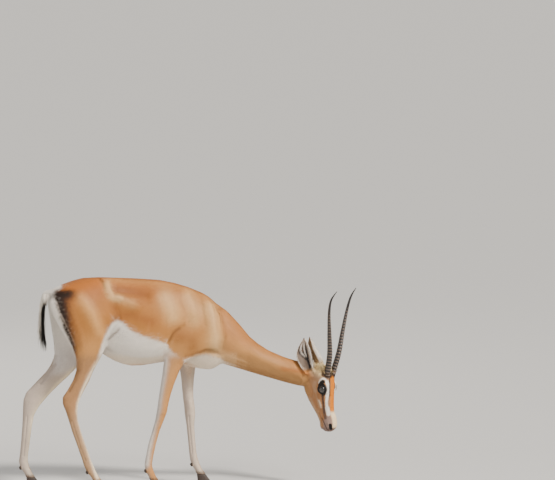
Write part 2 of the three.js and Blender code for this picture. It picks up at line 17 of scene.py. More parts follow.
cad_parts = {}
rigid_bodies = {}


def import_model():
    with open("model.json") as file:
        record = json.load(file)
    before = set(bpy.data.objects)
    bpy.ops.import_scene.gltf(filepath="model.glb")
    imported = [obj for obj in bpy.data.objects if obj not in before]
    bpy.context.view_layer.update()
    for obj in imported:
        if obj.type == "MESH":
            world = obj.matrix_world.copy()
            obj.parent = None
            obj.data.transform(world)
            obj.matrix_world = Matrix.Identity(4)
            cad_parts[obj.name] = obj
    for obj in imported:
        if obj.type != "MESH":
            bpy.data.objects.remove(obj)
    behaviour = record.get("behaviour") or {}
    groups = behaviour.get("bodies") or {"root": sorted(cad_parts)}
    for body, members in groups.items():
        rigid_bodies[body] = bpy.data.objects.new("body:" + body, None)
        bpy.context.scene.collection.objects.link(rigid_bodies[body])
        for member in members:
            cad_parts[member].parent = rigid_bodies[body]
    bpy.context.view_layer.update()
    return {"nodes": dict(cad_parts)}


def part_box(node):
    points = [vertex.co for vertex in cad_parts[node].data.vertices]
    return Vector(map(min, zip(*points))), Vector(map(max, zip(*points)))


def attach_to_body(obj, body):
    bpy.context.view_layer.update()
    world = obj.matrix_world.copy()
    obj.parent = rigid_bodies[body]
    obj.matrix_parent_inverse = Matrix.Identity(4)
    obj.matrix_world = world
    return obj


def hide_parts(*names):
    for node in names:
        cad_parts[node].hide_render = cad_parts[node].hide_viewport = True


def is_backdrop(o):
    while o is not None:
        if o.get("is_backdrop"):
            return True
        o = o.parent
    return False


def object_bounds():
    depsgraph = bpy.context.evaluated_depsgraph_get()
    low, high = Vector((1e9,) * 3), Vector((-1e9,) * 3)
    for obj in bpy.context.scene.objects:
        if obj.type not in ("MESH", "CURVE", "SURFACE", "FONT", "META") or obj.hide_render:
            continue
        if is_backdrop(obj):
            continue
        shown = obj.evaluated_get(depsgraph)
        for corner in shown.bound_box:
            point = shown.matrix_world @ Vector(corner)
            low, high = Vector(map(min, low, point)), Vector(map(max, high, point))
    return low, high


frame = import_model()

# %% [markdown]
# ## Camera, floor and light
# The photograph was taken with a long lens from the animal's right, a little above her back. The camera
# stands where the hooves, the horns and the nose all fall on their places in the picture. The floor is a
# wide pale sheet. One soft sun makes the forms, and three weak boxes with a pale sky fill the shadows.

# %% Camera
CAMERA_PLACE = Vector((-1.4655, -13.8929, 2.38))
CAMERA_LENS = 221.5  # millimetres
CAMERA_SENSOR = 36  # millimetres across
CAMERA_REACH = 100  # metres
CAMERA_DIP = 5.5145  # degrees below the horizon
CAMERA_TURN = 7.5273  # degrees, from straight across her walk towards her head

camera_data = bpy.data.cameras.new("camera")
camera_data.lens = CAMERA_LENS
camera_data.sensor_width = CAMERA_SENSOR
camera_data.clip_end = CAMERA_REACH
camera = bpy.data.objects.new("camera", camera_data)
camera.location = CAMERA_PLACE
camera.rotation_euler = (math.radians(90 - CAMERA_DIP), 0, math.radians(-CAMERA_TURN))
bpy.context.scene.collection.objects.link(camera)
bpy.context.scene.camera = camera
print("camera:", CAMERA_LENS, "mm lens,", round(CAMERA_PLACE.length, 2), "m away")

# %% Floor and lamps
FLOOR_SIZE = 260
SUN_POWER = 4.3
SUN_SPREAD = 10  # degrees
SUN_WAY = (-0.50, 0.52, -0.69)
SKY_POWER = 0.42

bpy.ops.object.select_all(action="DESELECT")
bpy.ops.mesh.primitive_plane_add(size=FLOOR_SIZE, location=(0, 10, 0))
floor = bpy.context.object
floor.name = "floor"
bpy.ops.object.transform_apply(location=True, rotation=True, scale=True)
floor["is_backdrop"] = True


def lamp(name, place, target, size, power, colour):
    """A square soft box that faces a point."""
    data = bpy.data.lights.new(name, "AREA")
    data.size = size
    data.energy = power
    data.color = colour
    made = bpy.data.objects.new(name, data)
    made.location = place
    made.rotation_euler = (Vector(target) - Vector(place)).to_track_quat("-Z", "Y").to_euler()
    bpy.context.scene.collection.objects.link(made)


sun_data = bpy.data.lights.new("key", "SUN")
sun_data.energy = SUN_POWER
sun_data.angle = math.radians(SUN_SPREAD)
sun_data.color = (1, 0.965, 0.91)
sun = bpy.data.objects.new("key", sun_data)
sun.rotation_euler = Vector(SUN_WAY).to_track_quat("-Z", "Y").to_euler()
bpy.context.scene.collection.objects.link(sun)
lamp("key box", (2.2, -3.6, 3.4), (0.3, 0, 0.5), 1.4, 90, (1, 0.98, 0.95))
lamp("fill", (-4.5, -3.0, 2.0), (0, 0, 0.5), 3.0, 60, (0.92, 0.96, 1))
lamp("rim", (-1.5, 4.2, 3.4), (0, 0, 0.6), 2.4, 60, (1, 0.98, 0.95))
world = bpy.data.worlds.new("studio")
world.use_nodes = True
sky = world.node_tree.nodes["Background"]
sky.inputs["Color"].default_value = (1, 1, 1, 1)
sky.inputs["Strength"].default_value = SKY_POWER
bpy.context.scene.world = world
print("floor:", FLOOR_SIZE, "m wide, with", len(bpy.data.lights), "lamps")

# %% [markdown]
# ## Small helpers
# Operators act on what is selected, so one helper selects a single piece, and another adds a modifier and
# applies it. Points are read and written as arrays, because a skin has far too many to loop over.

# %% Small helpers for modelling


def only(piece):
    """Selects one object and nothing else."""
    bpy.ops.object.select_all(action="DESELECT")
    piece.select_set(True)
    bpy.context.view_layer.objects.active = piece


def modify(piece, kind, **settings):
    """Adds a modifier, sets it and applies it."""
    only(piece)
    modifier = piece.modifiers.new(kind.title(), kind)
    for name, value in settings.items():
        setattr(modifier, name, value)
    bpy.ops.object.modifier_apply(modifier=modifier.name)


def points_of(piece):
    """The mesh's vertices as rows of x, y, z."""
    flat = np.empty(len(piece.data.vertices) * 3, np.float32)
    piece.data.vertices.foreach_get("co", flat)
    return flat.reshape(-1, 3).astype(float)


def normals_of(piece):
    """The vertices' normals as rows of x, y, z."""
    flat = np.empty(len(piece.data.vertices) * 3, np.float32)
    piece.data.vertex_normals.foreach_get("vector", flat)
    return flat.reshape(-1, 3).astype(float)


def place_points(piece, points):
    """Moves the mesh's vertices to the given rows."""
    piece.data.vertices.foreach_set("co", points.astype(np.float32).ravel())
    piece.data.update()


def ramp(low, high, value):
    """0 at low, 1 at high, smooth between and level beyond. It falls where low is the larger number."""
    share = np.clip((value - low) / (high - low), 0, 1)
    return share * share * (3 - 2 * share)


print("helpers: a ramp gives", float(ramp(0, 1, 0.25)), "at a quarter and", float(ramp(0, 1, 0.5)), "halfway")


# %% [markdown]
# ## The head's own frame
# Markings and folds of the face are easiest to say in the head's own directions: along the face to the
# nose, across it to her left, and out of the forehead. The eyes of the frame fix where the head is.

# %% Directions of the head
HEAD_TURN = math.radians(38)
FACE_LENGTHWISE = np.array([0, 0, -1.0])
FACE_ACROSS = np.array([math.sin(HEAD_TURN), math.cos(HEAD_TURN), 0])
FACE_OUT = np.array([math.cos(HEAD_TURN), -math.sin(HEAD_TURN), 0])
EYE_ALONG = 0.055
EYE_OUT = -0.027
EYE_RADIUS = 0.020


def centre_of(node):
    """The middle of a node's box."""
    low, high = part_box(node)
    return np.array((low + high) / 2)


eyes = {"left": centre_of("eye_left"), "right": centre_of("eye_right")}
between_eyes = (eyes["left"] + eyes["right"]) / 2
forehead = between_eyes - FACE_LENGTHWISE * EYE_ALONG - FACE_OUT * EYE_OUT


def on_face(points):
    """Turns points into the head's own along, across and out."""
    moved = points - forehead
    return np.stack([moved @ FACE_LENGTHWISE, moved @ FACE_ACROSS, moved @ FACE_OUT], axis=1)


def from_face(along, across, out):
    """The points of the frame that lie there in the head's directions."""
    return forehead + FACE_LENGTHWISE * along + FACE_ACROSS * across + FACE_OUT * out


eye_gap = float(np.linalg.norm(eyes["left"] - eyes["right"]))
print("forehead at", forehead.round(3), "and eyes", round(eye_gap, 3), "m apart")

# %% [markdown]
# ## Ears
# An ear is a leaf of gristle, rolled into a tube at its root and open at its outer side. It starts as a
# flat grid whose points are rolled up and then given a wall. The skin takes it in later, so that no seam
# shows where it joins the head.

# %% Ears
EAR_LENGTH = 0.157
EAR_WIDTH = 0.0305
EAR_WALL = 0.0042
EAR_ROOT = (-0.004, 0.040, -0.084)  # along, across and out, in the head's directions
EAR_AXIS = (-0.96, -0.11, -0.25)
EAR_OPENING = (0.1, 0.87, 0.45)
EAR_BOW = (-0.010, 0.009)  # out and across, at the middle of its length
EAR_GRID = (29, 41)
STEEPEST_ROLL = 1.45  # radians, and a wider roll keeps the radius of this one
HOLLOW_SHARE = 0.72  # height of the roll's centre over the ear's middle line, in radii


class EarPlan:
    """Where one ear grows: its root, its axis to the tip, the side it opens to and its width."""

    def __init__(self, side):
        def turned(along, across, out):
            """A direction of length one, given in the head's own directions."""
            direction = FACE_LENGTHWISE * along + FACE_ACROSS * across * side + FACE_OUT * out
            return direction / np.linalg.norm(direction)

        along, across, out = EAR_ROOT
        opening = turned(*EAR_OPENING)
        self.root = from_face(along, across * side, out)
        self.axis = turned(*EAR_AXIS)
        self.across = np.cross(self.axis, opening)
        self.across /= np.linalg.norm(self.across)
        self.face = np.cross(self.across, self.axis)
        self.bow = EAR_BOW[0] * FACE_OUT + EAR_BOW[1] * side * FACE_ACROSS

    def middle(self, share):
        """The ear's bowed middle line."""
        bowed = np.sin(np.pi * np.clip(share, 0, 1)) ** 1.2
        return self.root + np.outer(share * EAR_LENGTH, self.axis) + np.outer(bowed, self.bow)

    @staticmethod
    def half(share):
        """Half the ear's width at a share of its length."""
        full = 0.34 + 0.68 * np.sin(np.pi * np.minimum(1, 0.04 + share * 0.93)) ** 1.1
        return np.maximum(EAR_WIDTH * full * (1 - share**7), 0.0015)

    @staticmethod
    def roll(share):
        """How far round the ear is rolled, in radians from its middle to its edge."""
        return 1.95 - 1.1 * np.minimum(1, share * 1.6)


ear_plans = {"left": EarPlan(1), "right": EarPlan(-1)}


def ear(word):
    """One ear as a walled mesh."""
    plan = ear_plans[word]
    bpy.ops.object.select_all(action="DESELECT")
    columns, rows = EAR_GRID
    bpy.ops.mesh.primitive_grid_add(x_subdivisions=columns - 1, y_subdivisions=rows - 1, size=2)
    made = bpy.context.object
    flat = points_of(made)
    turn, share = flat[:, 0], (flat[:, 1] + 1) / 2
    half, roll = plan.half(share), plan.roll(share)
    radius = half / np.sin(np.minimum(roll, STEEPEST_ROLL))
    angle = turn * roll
    edge_curl = 0.0035 * np.abs(turn) ** 4 * np.sin(np.pi * share)
    depth = radius * (HOLLOW_SHARE - np.cos(angle)) - 0.006 * np.sin(np.pi * share) + edge_curl
    rolled = (
        plan.middle(share * (1 - EAR_WALL / EAR_LENGTH))
        + np.outer(radius * np.sin(angle), plan.across)
        + np.outer(depth, plan.face)
    )
    place_points(made, rolled)
    modify(made, "SOLIDIFY", thickness=EAR_WALL, offset=0)
    return made


ear_meshes = [ear(word) for word in ear_plans]
# With these, the paint knows which points of the skin are an ear's.
ear_trees = {
    word: BVHTree.FromPolygons([v.co for v in made.data.vertices], [p.vertices for p in made.data.polygons])
    for word, made in zip(ear_plans, ear_meshes)
}
print("ears:", sum(len(made.data.polygons) for made in ear_meshes), "faces")

# %% [markdown]
# ## The skin
# The frame parts the flesh with thin cuts, and the living animal has none. Copies of trunk, neck, head and
# legs are swollen a little so that they overlap, joined with the new ears and the tail's core, and remeshed
# as one closed surface. A smoothing whose strength follows the body, strong on the trunk and weak on legs
# and face, takes the facets away.

# %% Gather the flesh
LEGS = ["hind_right", "hind_left", "fore_right", "fore_left"]
FLESH = ["torso", "neck", "head", "ear_left", "ear_right", "tail"]
FLESH += [leg + part for leg in LEGS for part in ("_upper", "_lower")]
SWELL = 0.0005  # how far the copies grow, so that they overlap
VOXEL = 0.0021  # the remesh's own step
SAME_PLACE = 1e-5  # vertices nearer than this are one


def copy_node(name):
    """A free copy of a node's mesh, with its doubled vertices merged."""
    copy = frame["nodes"][name].copy()
    copy.data = copy.data.copy()
    copy.parent = None
    for key in list(copy.keys()):
        del copy[key]
    bpy.context.scene.collection.objects.link(copy)
    only(copy)
    bpy.ops.object.mode_set(mode="EDIT")
    bpy.ops.mesh.select_all(action="SELECT")
    bpy.ops.mesh.remove_doubles(threshold=SAME_PLACE)
    bpy.ops.object.mode_set(mode="OBJECT")
    return copy


def tube(name, stations, sides):
    """A round tube along points, each with its own radius, with closed ends."""
    curve = bpy.data.curves.new(name, "CURVE")
    curve.dimensions = "3D"
    curve.bevel_depth = 1
    curve.bevel_resolution = sides // 4 - 1
    curve.use_fill_caps = True
    line = curve.splines.new("POLY")
    line.points.add(len(stations) - 1)
    for point, (place, radius) in zip(line.points, stations):
        point.co = (*place, 1)
        point.radius = radius
    made = bpy.data.objects.new(name, curve)
    bpy.context.scene.collection.objects.link(made)
    only(made)
    bpy.ops.object.convert(target="MESH")
    return bpy.context.object


def smooth_path(rows, count):
    """Points at even steps on a smooth curve through the rows."""
    rows = np.array(rows, float)
    place = np.linspace(0, len(rows) - 1, count)
    first = np.minimum(place.astype(int), len(rows) - 2)
    share = (place - first)[:, None]
    before, start, end, after = (rows[np.clip(first + k, 0, len(rows) - 1)] for k in (-1, 0, 1, 2))
    return start + 0.5 * share * (
        end - before
        + share * (2 * before - 5 * start + 4 * end - after + share * (3 * (start - end) + after - before))
    )


print("flesh:", len(FLESH), "nodes of the frame")

# %% [markdown]
# ## The tail's core
# Under the tail's long hair is a thin, bony whip. The frame's tail is a stand-in for its hair, so the core
# is drawn anew as a tapered tube along much the same line, and the skin takes it in.

# %% Tail core
tail_low, tail_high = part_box("tail")
TAIL_MIDDLE = float((tail_low.y + tail_high.y) / 2)
TAIL_LINE = [  # x, z and radius
    (-0.545, 0.815, 0.016),
    (-0.566, 0.821, 0.0145),
    (-0.585, 0.815, 0.0125),
    (-0.597, 0.793, 0.0095),
    (-0.602, 0.755, 0.0062),
    (-0.601, 0.705, 0.0045),
    (-0.595, 0.655, 0.0032),
    (-0.591, 0.632, 0.0022),
]
tail_path = smooth_path(TAIL_LINE, 40)
tail_core = tube("tail_core", [((x, TAIL_MIDDLE, z), r) for x, z, r in tail_path], 12)
print("tail core:", round(float(tail_path[0, 1] - tail_path[-1, 1]), 3), "m long")

# %% Join and remesh
OWN_START = ("ear_left", "ear_right", "tail")  # flesh that isn't copied, but made anew above
SOCKET_GAP = 0.0012


def eye_filling(word):
    """A ball a little larger than the eye, so that its socket is closed while the skin is made."""
    bpy.ops.object.select_all(action="DESELECT")
    bpy.ops.mesh.primitive_uv_sphere_add(
        segments=32, ring_count=20, radius=EYE_RADIUS + SOCKET_GAP, location=eyes[word]
    )
    bpy.ops.object.transform_apply(location=True, rotation=True, scale=True)
    return bpy.context.object


copies = [copy_node(name) for name in FLESH if name not in OWN_START]
for copy in copies:
    modify(copy, "DISPLACE", strength=SWELL, mid_level=0)
bpy.ops.object.select_all(action="DESELECT")
for piece in [*copies, *ear_meshes, tail_core, eye_filling("left"), eye_filling("right")]:
    piece.select_set(True)
bpy.context.view_layer.objects.active = copies[0]
bpy.ops.object.join()
skin = bpy.context.object
skin.name = "coat_skin"
skin.data.name = "coat_skin"
modify(skin, "REMESH", mode="VOXEL", voxel_size=VOXEL, use_smooth_shade=True)
print("skin:", len(skin.data.vertices), "vertices after the remesh")

# %% Smooth by region
SMOOTH_STEPS = 200


def neckline(points):
    """0 on the trunk and 1 on the neck, rising over its root."""
    return ramp(0.10, 0.30, points[:, 0])


def softness(points):
    """How strongly each point is smoothed, from 0 to 1."""
    x, z = points[:, 0], points[:, 2]
    along, across, out = on_face(points).T
    trunk = 1 - 0.6 * neckline(points)
    leg = (x < 0.2) * ramp(0.60, 0.44, z)
    soft = trunk * (1 - leg) + 0.05 * leg
    in_head = ramp(0.455, 0.51, x)
    soft = soft * (1 - in_head) + 0.035 * in_head
    for plan in ear_plans.values():
        near_root = ramp(0.050, 0.020, np.linalg.norm(points - plan.root, axis=1))
        soft = np.maximum(soft, 0.22 * near_root)
    for plan in ear_plans.values():
        share = (points - plan.root) @ plan.axis / EAR_LENGTH
        in_ear = ramp(0.1, 0.3, share) * (x > 0.40)
        soft = soft * (1 - in_ear) + 0.012 * in_ear
    in_tail = ramp(-0.575, -0.59, x) * (z > 0.6)
    return soft * (1 - in_tail) + 0.02 * in_tail


def weigh(piece, name, weights, levels=40):
    """Stores weights in a vertex group, in steps."""
    group = piece.vertex_groups.new(name=name)
    step = np.round(np.clip(weights, 0, 1) ** 0.5 * levels).astype(int)
    for level in range(1, levels + 1):
        members = np.flatnonzero(step == level)
        if len(members):
            group.add(members.tolist(), (level / levels) ** 2, "REPLACE")


weigh(skin, "soft", softness(points_of(skin)))
modify(skin, "SMOOTH", factor=0.5, iterations=SMOOTH_STEPS, vertex_group="soft")
skin.vertex_groups.clear()
print("skin: smoothed", SMOOTH_STEPS, "times, most on the trunk")

# %% [markdown]
# ## Muscles and bones under the skin
# On a lean animal the hip bone, the flank hollow, the shoulder blade and the tendons of the legs show.
# Each is a stroke, as a sculptor's brush would make: a line on the side view, how wide it is, and how far
# it lifts or sinks the skin. A stroke fades where the skin turns away from the side.

# %% Strokes on the body
BOTH, RIGHT, LEFT = 0, -1, 1
MIDDLE_Y = float((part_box("torso")[0].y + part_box("torso")[1].y) / 2)
BODY_STROKES = [  # side, width, lift, line of x and z
    (BOTH, 0.008, -0.004, [(-0.361, 0.876), (-0.349, 0.860), (-0.342, 0.838)]),  # before the hip bone
    (BOTH, 0.012, 0.006, [(-0.330, 0.860), (-0.327, 0.831), (-0.315, 0.806), (-0.284, 0.801)]),  # hip bone
    (BOTH, 0.013, 0.0035, [(-0.284, 0.801), (-0.242, 0.784), (-0.200, 0.768)]),  # cord of the flank
    (BOTH, 0.019, -0.008, [(-0.290, 0.834), (-0.240, 0.827), (-0.169, 0.816)]),  # flank hollow
    (BOTH, 0.022, -0.007, [(-0.304, 0.764), (-0.282, 0.733), (-0.235, 0.742)]),
    (BOTH, 0.022, 0.006, [(-0.440, 0.809), (-0.410, 0.761), (-0.381, 0.706), (-0.361, 0.657)]),  # thigh
    (BOTH, 0.014, -0.004, [(-0.476, 0.793), (-0.449, 0.728), (-0.422, 0.668), (-0.411, 0.591)]),
    (BOTH, 0.009, -0.008, [(-0.286, 0.717), (-0.312, 0.678), (-0.337, 0.629), (-0.355, 0.591)]),  # flank fold
    (BOTH, 0.013, 0.004, [(-0.007, 0.821), (0.017, 0.765), (0.029, 0.700)]),  # spine of the shoulder blade
    (BOTH, 0.014, -0.004, [(-0.038, 0.799), (-0.019, 0.755), (-0.006, 0.711)]),
    (BOTH, 0.010, -0.004, [(0.057, 0.788), (0.064, 0.733), (0.068, 0.689)]),
    (BOTH, 0.022, 0.005, [(0.090, 0.755), (0.103, 0.700), (0.109, 0.640), (0.106, 0.596)]),  # shoulder front
    (BOTH, 0.012, -0.004, [(0.134, 0.744), (0.147, 0.678), (0.152, 0.613)]),
    (BOTH, 0.026, 0.005, [(0.001, 0.651), (-0.016, 0.613)]),  # triceps
    (BOTH, 0.009, -0.007, [(-0.087, 0.613), (-0.071, 0.651), (-0.049, 0.673), (-0.021, 0.689)]),
    (BOTH, 0.010, -0.005, [(-0.018, 0.557), (0.025, 0.569), (0.073, 0.584), (0.128, 0.566)]),
    (BOTH, 0.018, 0.0025, [(0.165, 0.610), (0.270, 0.555), (0.380, 0.505), (0.470, 0.470)]),  # neck muscle
    (BOTH, 0.012, -0.002, [(0.165, 0.575), (0.270, 0.522), (0.380, 0.474), (0.470, 0.440)]),  # jugular groove
    (BOTH, 0.014, -0.002, [(0.150, 0.720), (0.230, 0.625), (0.320, 0.555), (0.420, 0.505)]),
    (RIGHT, 0.007, -0.0045, [(-0.499, 0.425), (-0.478, 0.465), (-0.458, 0.510)]),  # hollow before the tendon
    (LEFT, 0.007, -0.0045, [(-0.606, 0.437), (-0.574, 0.475), (-0.543, 0.515)]),
    (RIGHT, 0.0035, -0.0022, [(-0.486, 0.300), (-0.471, 0.250), (-0.452, 0.190), (-0.432, 0.135)]),
    (LEFT, 0.0035, -0.0022, [(-0.661, 0.300), (-0.665, 0.250), (-0.671, 0.190), (-0.676, 0.135)]),
    (RIGHT, 0.0035, -0.0022, [(-0.129, 0.290), (-0.142, 0.250), (-0.157, 0.194), (-0.169, 0.135)]),
    (LEFT, 0.0035, -0.0022, [(0.010, 0.290), (0.013, 0.250), (0.018, 0.194), (0.024, 0.135)]),
    (RIGHT, 0.009, 0.002, [(-0.105, 0.352), (-0.110, 0.328)]),  # knees
    (LEFT, 0.009, 0.002, [(0.012, 0.352), (0.016, 0.328)]),
]
RIBS = [(-0.180 + 0.032 * k, 0.800) for k in range(5)]
BODY_STROKES += [
    (BOTH, 0.010, 0.0015, [(x, z), (x + 0.010, z - 0.045), (x + 0.008, z - 0.095), (x - 0.012, z - 0.14)])
    for x, z in RIBS
]


def distance_to_line(points, line):
    """How far each point is from a line of straight lengths, on the side view or in space."""
    line = np.array(line, float)
    nearest = np.full(len(points), np.inf)
    for start, end in zip(line[:-1], line[1:]):
        run = end - start
        share = np.clip(((points - start) @ run) / (run @ run), 0, 1)
        nearest = np.minimum(nearest, np.linalg.norm(points - start - share[:, None] * run, axis=1))
    return nearest


def sculpt_body(points, normals):
    """How far the strokes of the body lift each point."""
    lift = np.zeros(len(points))
    side_view = points[:, [0, 2]]
    outside = np.sign(points[:, 1] - MIDDLE_Y)
    facing = np.abs(normals[:, 1])
    for side, width, height, line in BODY_STROKES:
        line_box = np.array(line)
        low, high = line_box.min(0) - 3 * width, line_box.max(0) + 3 * width
        near = np.flatnonzero(((side_view > low) & (side_view < high)).all(1) & (points[:, 0] < 0.47))
        if side != BOTH:
            near = near[outside[near] == side]
        away = distance_to_line(side_view[near], line)
        lift[near] += height * np.exp(-((away / width) ** 2)) * ramp(0.15, 0.6, facing[near])
    return lift


def coat_depth(points):
    """How deep the coat is, which is how far the skin lies inside the flesh."""
    deep = 0.0018 - 0.0010 * ramp(0.58, 0.46, points[:, 2]) * (points[:, 0] < 0.3)
    return deep * (1 - 0.8 * ramp(0.43, 0.50, points[:, 0]))


skin_points, skin_normals = points_of(skin), normals_of(skin)
lift = sculpt_body(skin_points, skin_normals) - coat_depth(skin_points)
place_points(skin, skin_points + skin_normals * lift[:, None])
print("body:", len(BODY_STROKES), "strokes")

# %% [markdown]
# ## The face
# The face needs a finer mesh than the trunk, so its faces round the eyes and the muzzle are split once.
# Lids are made from distance: inside the almond of the open eye the skin sinks under the eyeball, and
# round it the skin stands just proud of the ball, as a lid does.

# %% A finer mesh round the eyes and the muzzle
FINE_EYE = 0.034


def split_faces(piece, chosen):
    """Splits the chosen faces' edges once."""
    only(piece)
    bpy.ops.object.mode_set(mode="EDIT")
    bpy.ops.mesh.select_mode(type="FACE")
    bpy.ops.mesh.select_all(action="DESELECT")
    bpy.ops.object.mode_set(mode="OBJECT")
    piece.data.polygons.foreach_set("select", chosen)
    bpy.ops.object.mode_set(mode="EDIT")
    bpy.ops.mesh.subdivide(number_cuts=1, smoothness=0.6)
    bpy.ops.object.mode_set(mode="OBJECT")


def face_centres(piece):
    """The middle of every face."""
    flat = np.empty(len(piece.data.polygons) * 3, np.float32)
    piece.data.polygons.foreach_get("center", flat)
    return flat.reshape(-1, 3).astype(float)


centres = face_centres(skin)
near_eye = np.min([np.linalg.norm(centres - eye, axis=1) for eye in eyes.values()], axis=0) < FINE_EYE
on_muzzle = (on_face(centres)[:, 0] > 0.185) & (centres[:, 0] > 0.5)
split_faces(skin, near_eye | on_muzzle)
print("skin:", len(skin.data.vertices), "vertices with the finer face")

# %% Lids
LID_LONG = 0.0185
LID_TALL = 0.0148
LID_PROUD = 0.0019


def eye_view(word, points):
    """Points seen along the eye's own axis: towards the nose, up and out of the socket."""
    side = 1 if word == "left" else -1
    out = FACE_ACROSS * side * 0.95 + FACE_OUT * 0.30
    out /= np.linalg.norm(out)
    nose = FACE_LENGTHWISE + FACE_OUT * 0.18
    nose -= out * (nose @ out)
    nose /= np.linalg.norm(nose)
    up = np.cross(out, nose) * side
    moved = points - eyes[word]
    return moved @ nose, moved @ up, moved @ out


def almond(word, points):
    """1 on the edge of the lids, less inside the open eye and more outside, and whether it faces outwards."""
    nose, up, out = eye_view(word, points)
    tall = LID_TALL * np.where(up > 0, 1.0, 0.9)
    narrowing = 1 + 0.25 * np.abs(nose / LID_LONG) ** 3
    return np.sqrt((nose / LID_LONG) ** 2 + (up / tall * narrowing) ** 2), out > 0


def shape_lids(points):
    """Sinks the skin under the open eye and sets the lids round it."""
    for word, eye in eyes.items():
        reach = np.linalg.norm(points - eye, axis=1)
        near = np.flatnonzero(reach < 0.040)
        edge, outward = almond(word, points[near])
        near, edge = near[outward], edge[outward]
        reach = reach[near]
        ball = EYE_RADIUS - 0.0030
        lid = EYE_RADIUS + LID_PROUD + 0.0012 * np.exp(-(((edge - 1.22) / 0.16) ** 2))
        lid = lid - 0.0012 * np.exp(-(((edge - 1.62) / 0.12) ** 2))
        wanted = ball + (lid - ball) * ramp(0.93, 1.04, edge)
        hold = 1 - ramp(1.35, 2.1, edge)
        new_reach = reach * (1 - hold) + wanted * hold
        points[near] = eye + (points[near] - eye) * (new_reach / reach)[:, None]
    return points


place_points(skin, shape_lids(points_of(skin)))
print("lids set round both eyes")

# %% Strokes on the face
FACE_STROKES = [  # width, lift, line of along, across and out
    (0.007, 0.0025, [(0.030, 0.041, -0.014), (0.052, 0.044, -0.008), (0.075, 0.040, -0.012)]),  # brow
    (0.008, 0.002, [(0.060, 0.045, -0.055), (0.095, 0.040, -0.048), (0.125, 0.034, -0.040)]),  # cheek bone
    (0.005, -0.0025, [(0.084, 0.038, -0.026), (0.104, 0.036, -0.028), (0.118, 0.033, -0.030)]),  # tear gland
    (0.009, -0.002, [(0.120, 0.031, -0.018), (0.165, 0.026, -0.020)]),
    (0.010, -0.002, [(0.105, 0.033, -0.062), (0.135, 0.028, -0.052)]),
    (0.0022, -0.0034, [  # mouth
        (0.160, 0.026, -0.045), (0.185, 0.024, -0.039), (0.212, 0.021, -0.033), (0.235, 0.008, -0.026),
    ]),
    (0.0040, -0.0070, [(0.206, 0.0205, 0.001), (0.214, 0.0180, 0.001), (0.220, 0.0135, 0.000)]),  # nostril
    (0.0038, 0.0016, [(0.200, 0.0235, -0.006), (0.212, 0.0240, -0.007), (0.223, 0.0190, -0.010)]),
    (0.019, 0.0090, [(0.176, 0.000, 0.010), (0.208, 0.000, 0.010)]),  # top of the nose
    (0.0018, -0.0018, [(0.226, 0.000, -0.006), (0.236, 0.000, -0.018)]),  # groove of the upper lip
]


def sculpt_face(points):
    """How far the strokes of the face lift each point."""
    lift = np.zeros(len(points))
    near = np.flatnonzero(points[:, 0] > 0.47)
    local = on_face(points[near])
    local[:, 1] = np.abs(local[:, 1])
    for width, height, line in FACE_STROKES:
        lift[near] += height * np.exp(-((distance_to_line(local, line) / width) ** 2))
    return lift


skin_points, skin_normals = points_of(skin), normals_of(skin)
place_points(skin, skin_points + skin_normals * sculpt_face(skin_points)[:, None])
print("face:", len(FACE_STROKES), "strokes")

# %% [markdown]
# ## Fewer faces where the body is smooth
# The trunk doesn't need a vertex every two millimetres. The decimate modifier collapses edges by a
# vertex group, so that the head keeps nearly all of its own and the skin stays under 200,000 triangles.

# %% Thin the mesh
THIN_SHARE = 0.235


def thinning(points):
    """1 where the mesh may be thinned, less on the head and ears."""
    x, z = points[:, 0], points[:, 2]
    return 1 - 0.97 * ramp(0.42, 0.47, x) - 0.5 * (x < 0.2) * ramp(0.5, 0.4, z)


weigh(skin, "thin", thinning(points_of(skin)))
modify(skin, "DECIMATE", ratio=THIN_SHARE, vertex_group="thin", vertex_group_factor=1.0)
skin.vertex_groups.clear()
only(skin)
bpy.ops.object.shade_smooth()
skin.data.calc_loop_triangles()
print("skin:", len(skin.data.loop_triangles), "triangles at the end")
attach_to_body(skin, "root")
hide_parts(*[name for name in FLESH if name != "tail"])

# %% [markdown]
# ## Colours of the coat
# The markings are what tells this species from its neighbours: a white rump that runs up over the root of
# the tail, a dark stripe down its edge, a white belly, and a face striped in rufous, white and black. Each
# marking is a named line or area, and its edge is as soft as the hair makes it. The colour is kept on the
# skin's points, and later every tuft takes the colour of the place where it grows.
# Besides markings, the body carries painted highlights and painted shade over its muscles, creases and
# hollows.

# %% Paint and brushes


def tone(red, green, blue):
    """A colour as a screen shows it, 0 to 255, turned into light."""
    shown = np.array([red, green, blue]) / 255
    return np.where(shown <= 0.04045, shown / 12.92, ((shown + 0.055) / 1.055) ** 2.4)


RUFOUS = tone(166, 92, 34)
FAWN = tone(180, 117, 54)
SAND = tone(208, 152, 88)
WHITE = tone(236, 226, 212)
DARK = tone(34, 22, 15)
LEG_INSIDE = tone(206, 188, 168)
NECK_TOP = tone(184, 120, 62)
THROAT = tone(174, 126, 76)
CHEEK = tone(168, 116, 74)
BLAZE = tone(216, 120, 6)
FACE_WHITE = tone(242, 230, 216)
BRIDGE = tone(238, 210, 168)
MUZZLE = tone(150, 124, 112)
CREAM = tone(252, 224, 166)
OLIVE = tone(116, 94, 66)
print("fawn of her side in light:", FAWN.round(3))


class Paint:
    """Colours of many points, painted over one after another."""

    def __init__(self, count, first):
        self.rows = np.tile(first, (count, 1))

    def over(self, colour, strength):
        """Lays a colour over the points, as strong as given for each."""
        share = np.clip(strength, 0, 1)[:, None]
        self.rows = self.rows * (1 - share) + colour * share


def stroke(flat, width, line):
    """1 on a line, 0 farther off than its width."""
    return np.exp(-((distance_to_line(flat, line) / width) ** 2))


